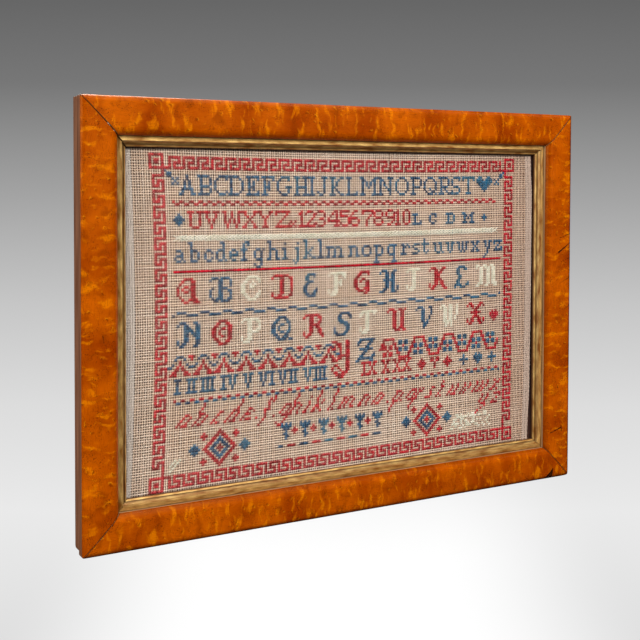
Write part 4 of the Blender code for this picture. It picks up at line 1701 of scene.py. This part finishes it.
for distance, dark_at, bright_at in (
    (off_middle.outputs[0], 0.82, 0.3),
    (paper_at.outputs["Y"], 5.5, 4.8),
):
    pool_part = add_node(
        tree,
        "ShaderNodeMapRange",
        {0: distance, 1: dark_at, 2: bright_at},
        interpolation_type="SMOOTHSTEP",
    ).outputs[0]
    if painted_light_pool is not None:
        pool_part = add_node(
            tree, "ShaderNodeMath", {0: painted_light_pool, 1: pool_part}, operation="MULTIPLY"
        ).outputs[0]
    painted_light_pool = pool_part
painted_paper_glow = add_node(
    tree, "ShaderNodeMix", {0: painted_light_pool, 6: shade.outputs[0], 7: srgb("FEFEFE")}, data_type="RGBA"
)
tree.links.new(painted_paper_glow.outputs[2], shader.inputs["Emission Color"])
shader.inputs["Emission Strength"].default_value = 1.0
shader.inputs["Base Color"].default_value = (0.02, 0.02, 0.02, 1.0)
shader.inputs["Roughness"].default_value = 1.0
shader.inputs["Specular IOR Level"].default_value = 0.0
mesh.materials.append(paper)
sweep.visible_glossy = False
sweep.visible_diffuse = False

scene = bpy.context.scene
scene.view_settings.view_transform = "Standard"
world = bpy.data.worlds.new("soft_studio")
scene.world = world
world.use_nodes = True
world.node_tree.nodes["Background"].inputs[0].default_value = srgb("F2F2F4")
world.node_tree.nodes["Background"].inputs[1].default_value = 0.12
world.cycles_visibility.glossy = False

# A window on the left, a broad box in front that shines on the cloth but not in the polish, one
# overhead, a batten high on the right, a strip over the top edge and a fill behind the back
for name, place, target, width, length, power in (
    ("window", (-2.3, -1.25, 0.6), (0.0, 0.0, -0.1), 1.4, 1.5, 46.0),
    ("front box", (0.5, -1.7, 0.4), (0.2, 0.0, -0.2), 1.6, 1.4, 26.0),
    ("overhead", (0.1, -0.65, 1.25), (0.1, -0.5, 0.0), 1.5, 1.5, 18.0),
    ("batten", (1.0, -1.35, 1.2), (0.3, 0.0, -0.1), 1.8, 0.5, 4.0),
    ("strip", (0.12, 0.14, 1.25), (-0.25, 0.0, 0.0), 0.5, 0.3, 18.0),
    ("back fill", (0.5, 1.6, 0.7), (0.0, 0.0, -0.2), 1.4, 1.2, 16.0),
):
    lamp = bpy.data.lights.new(name, "AREA")
    lamp.shape = "RECTANGLE"
    lamp.size = width
    lamp.size_y = length
    lamp.energy = power
    light = bpy.data.objects.new(name, lamp)
    light.location = place
    light.rotation_euler = (Vector(target) - Vector(place)).to_track_quat("-Z", "Y").to_euler()
    light.visible_camera = False
    light.visible_glossy = name != "front box"
    scene.collection.objects.link(light)

camera_data = bpy.data.cameras.new("camera")
camera_data.sensor_fit = "HORIZONTAL"
camera_data.sensor_width = 36.0
camera_data.lens = LENS
camera_data.shift_y = LENS_DROP
camera = bpy.data.objects.new("camera", camera_data)
camera.location = CAMERA_PLACE
camera.rotation_euler = (math.pi / 2 - PITCH, ROLL, -YAW)
scene.collection.objects.link(camera)
scene.camera = camera
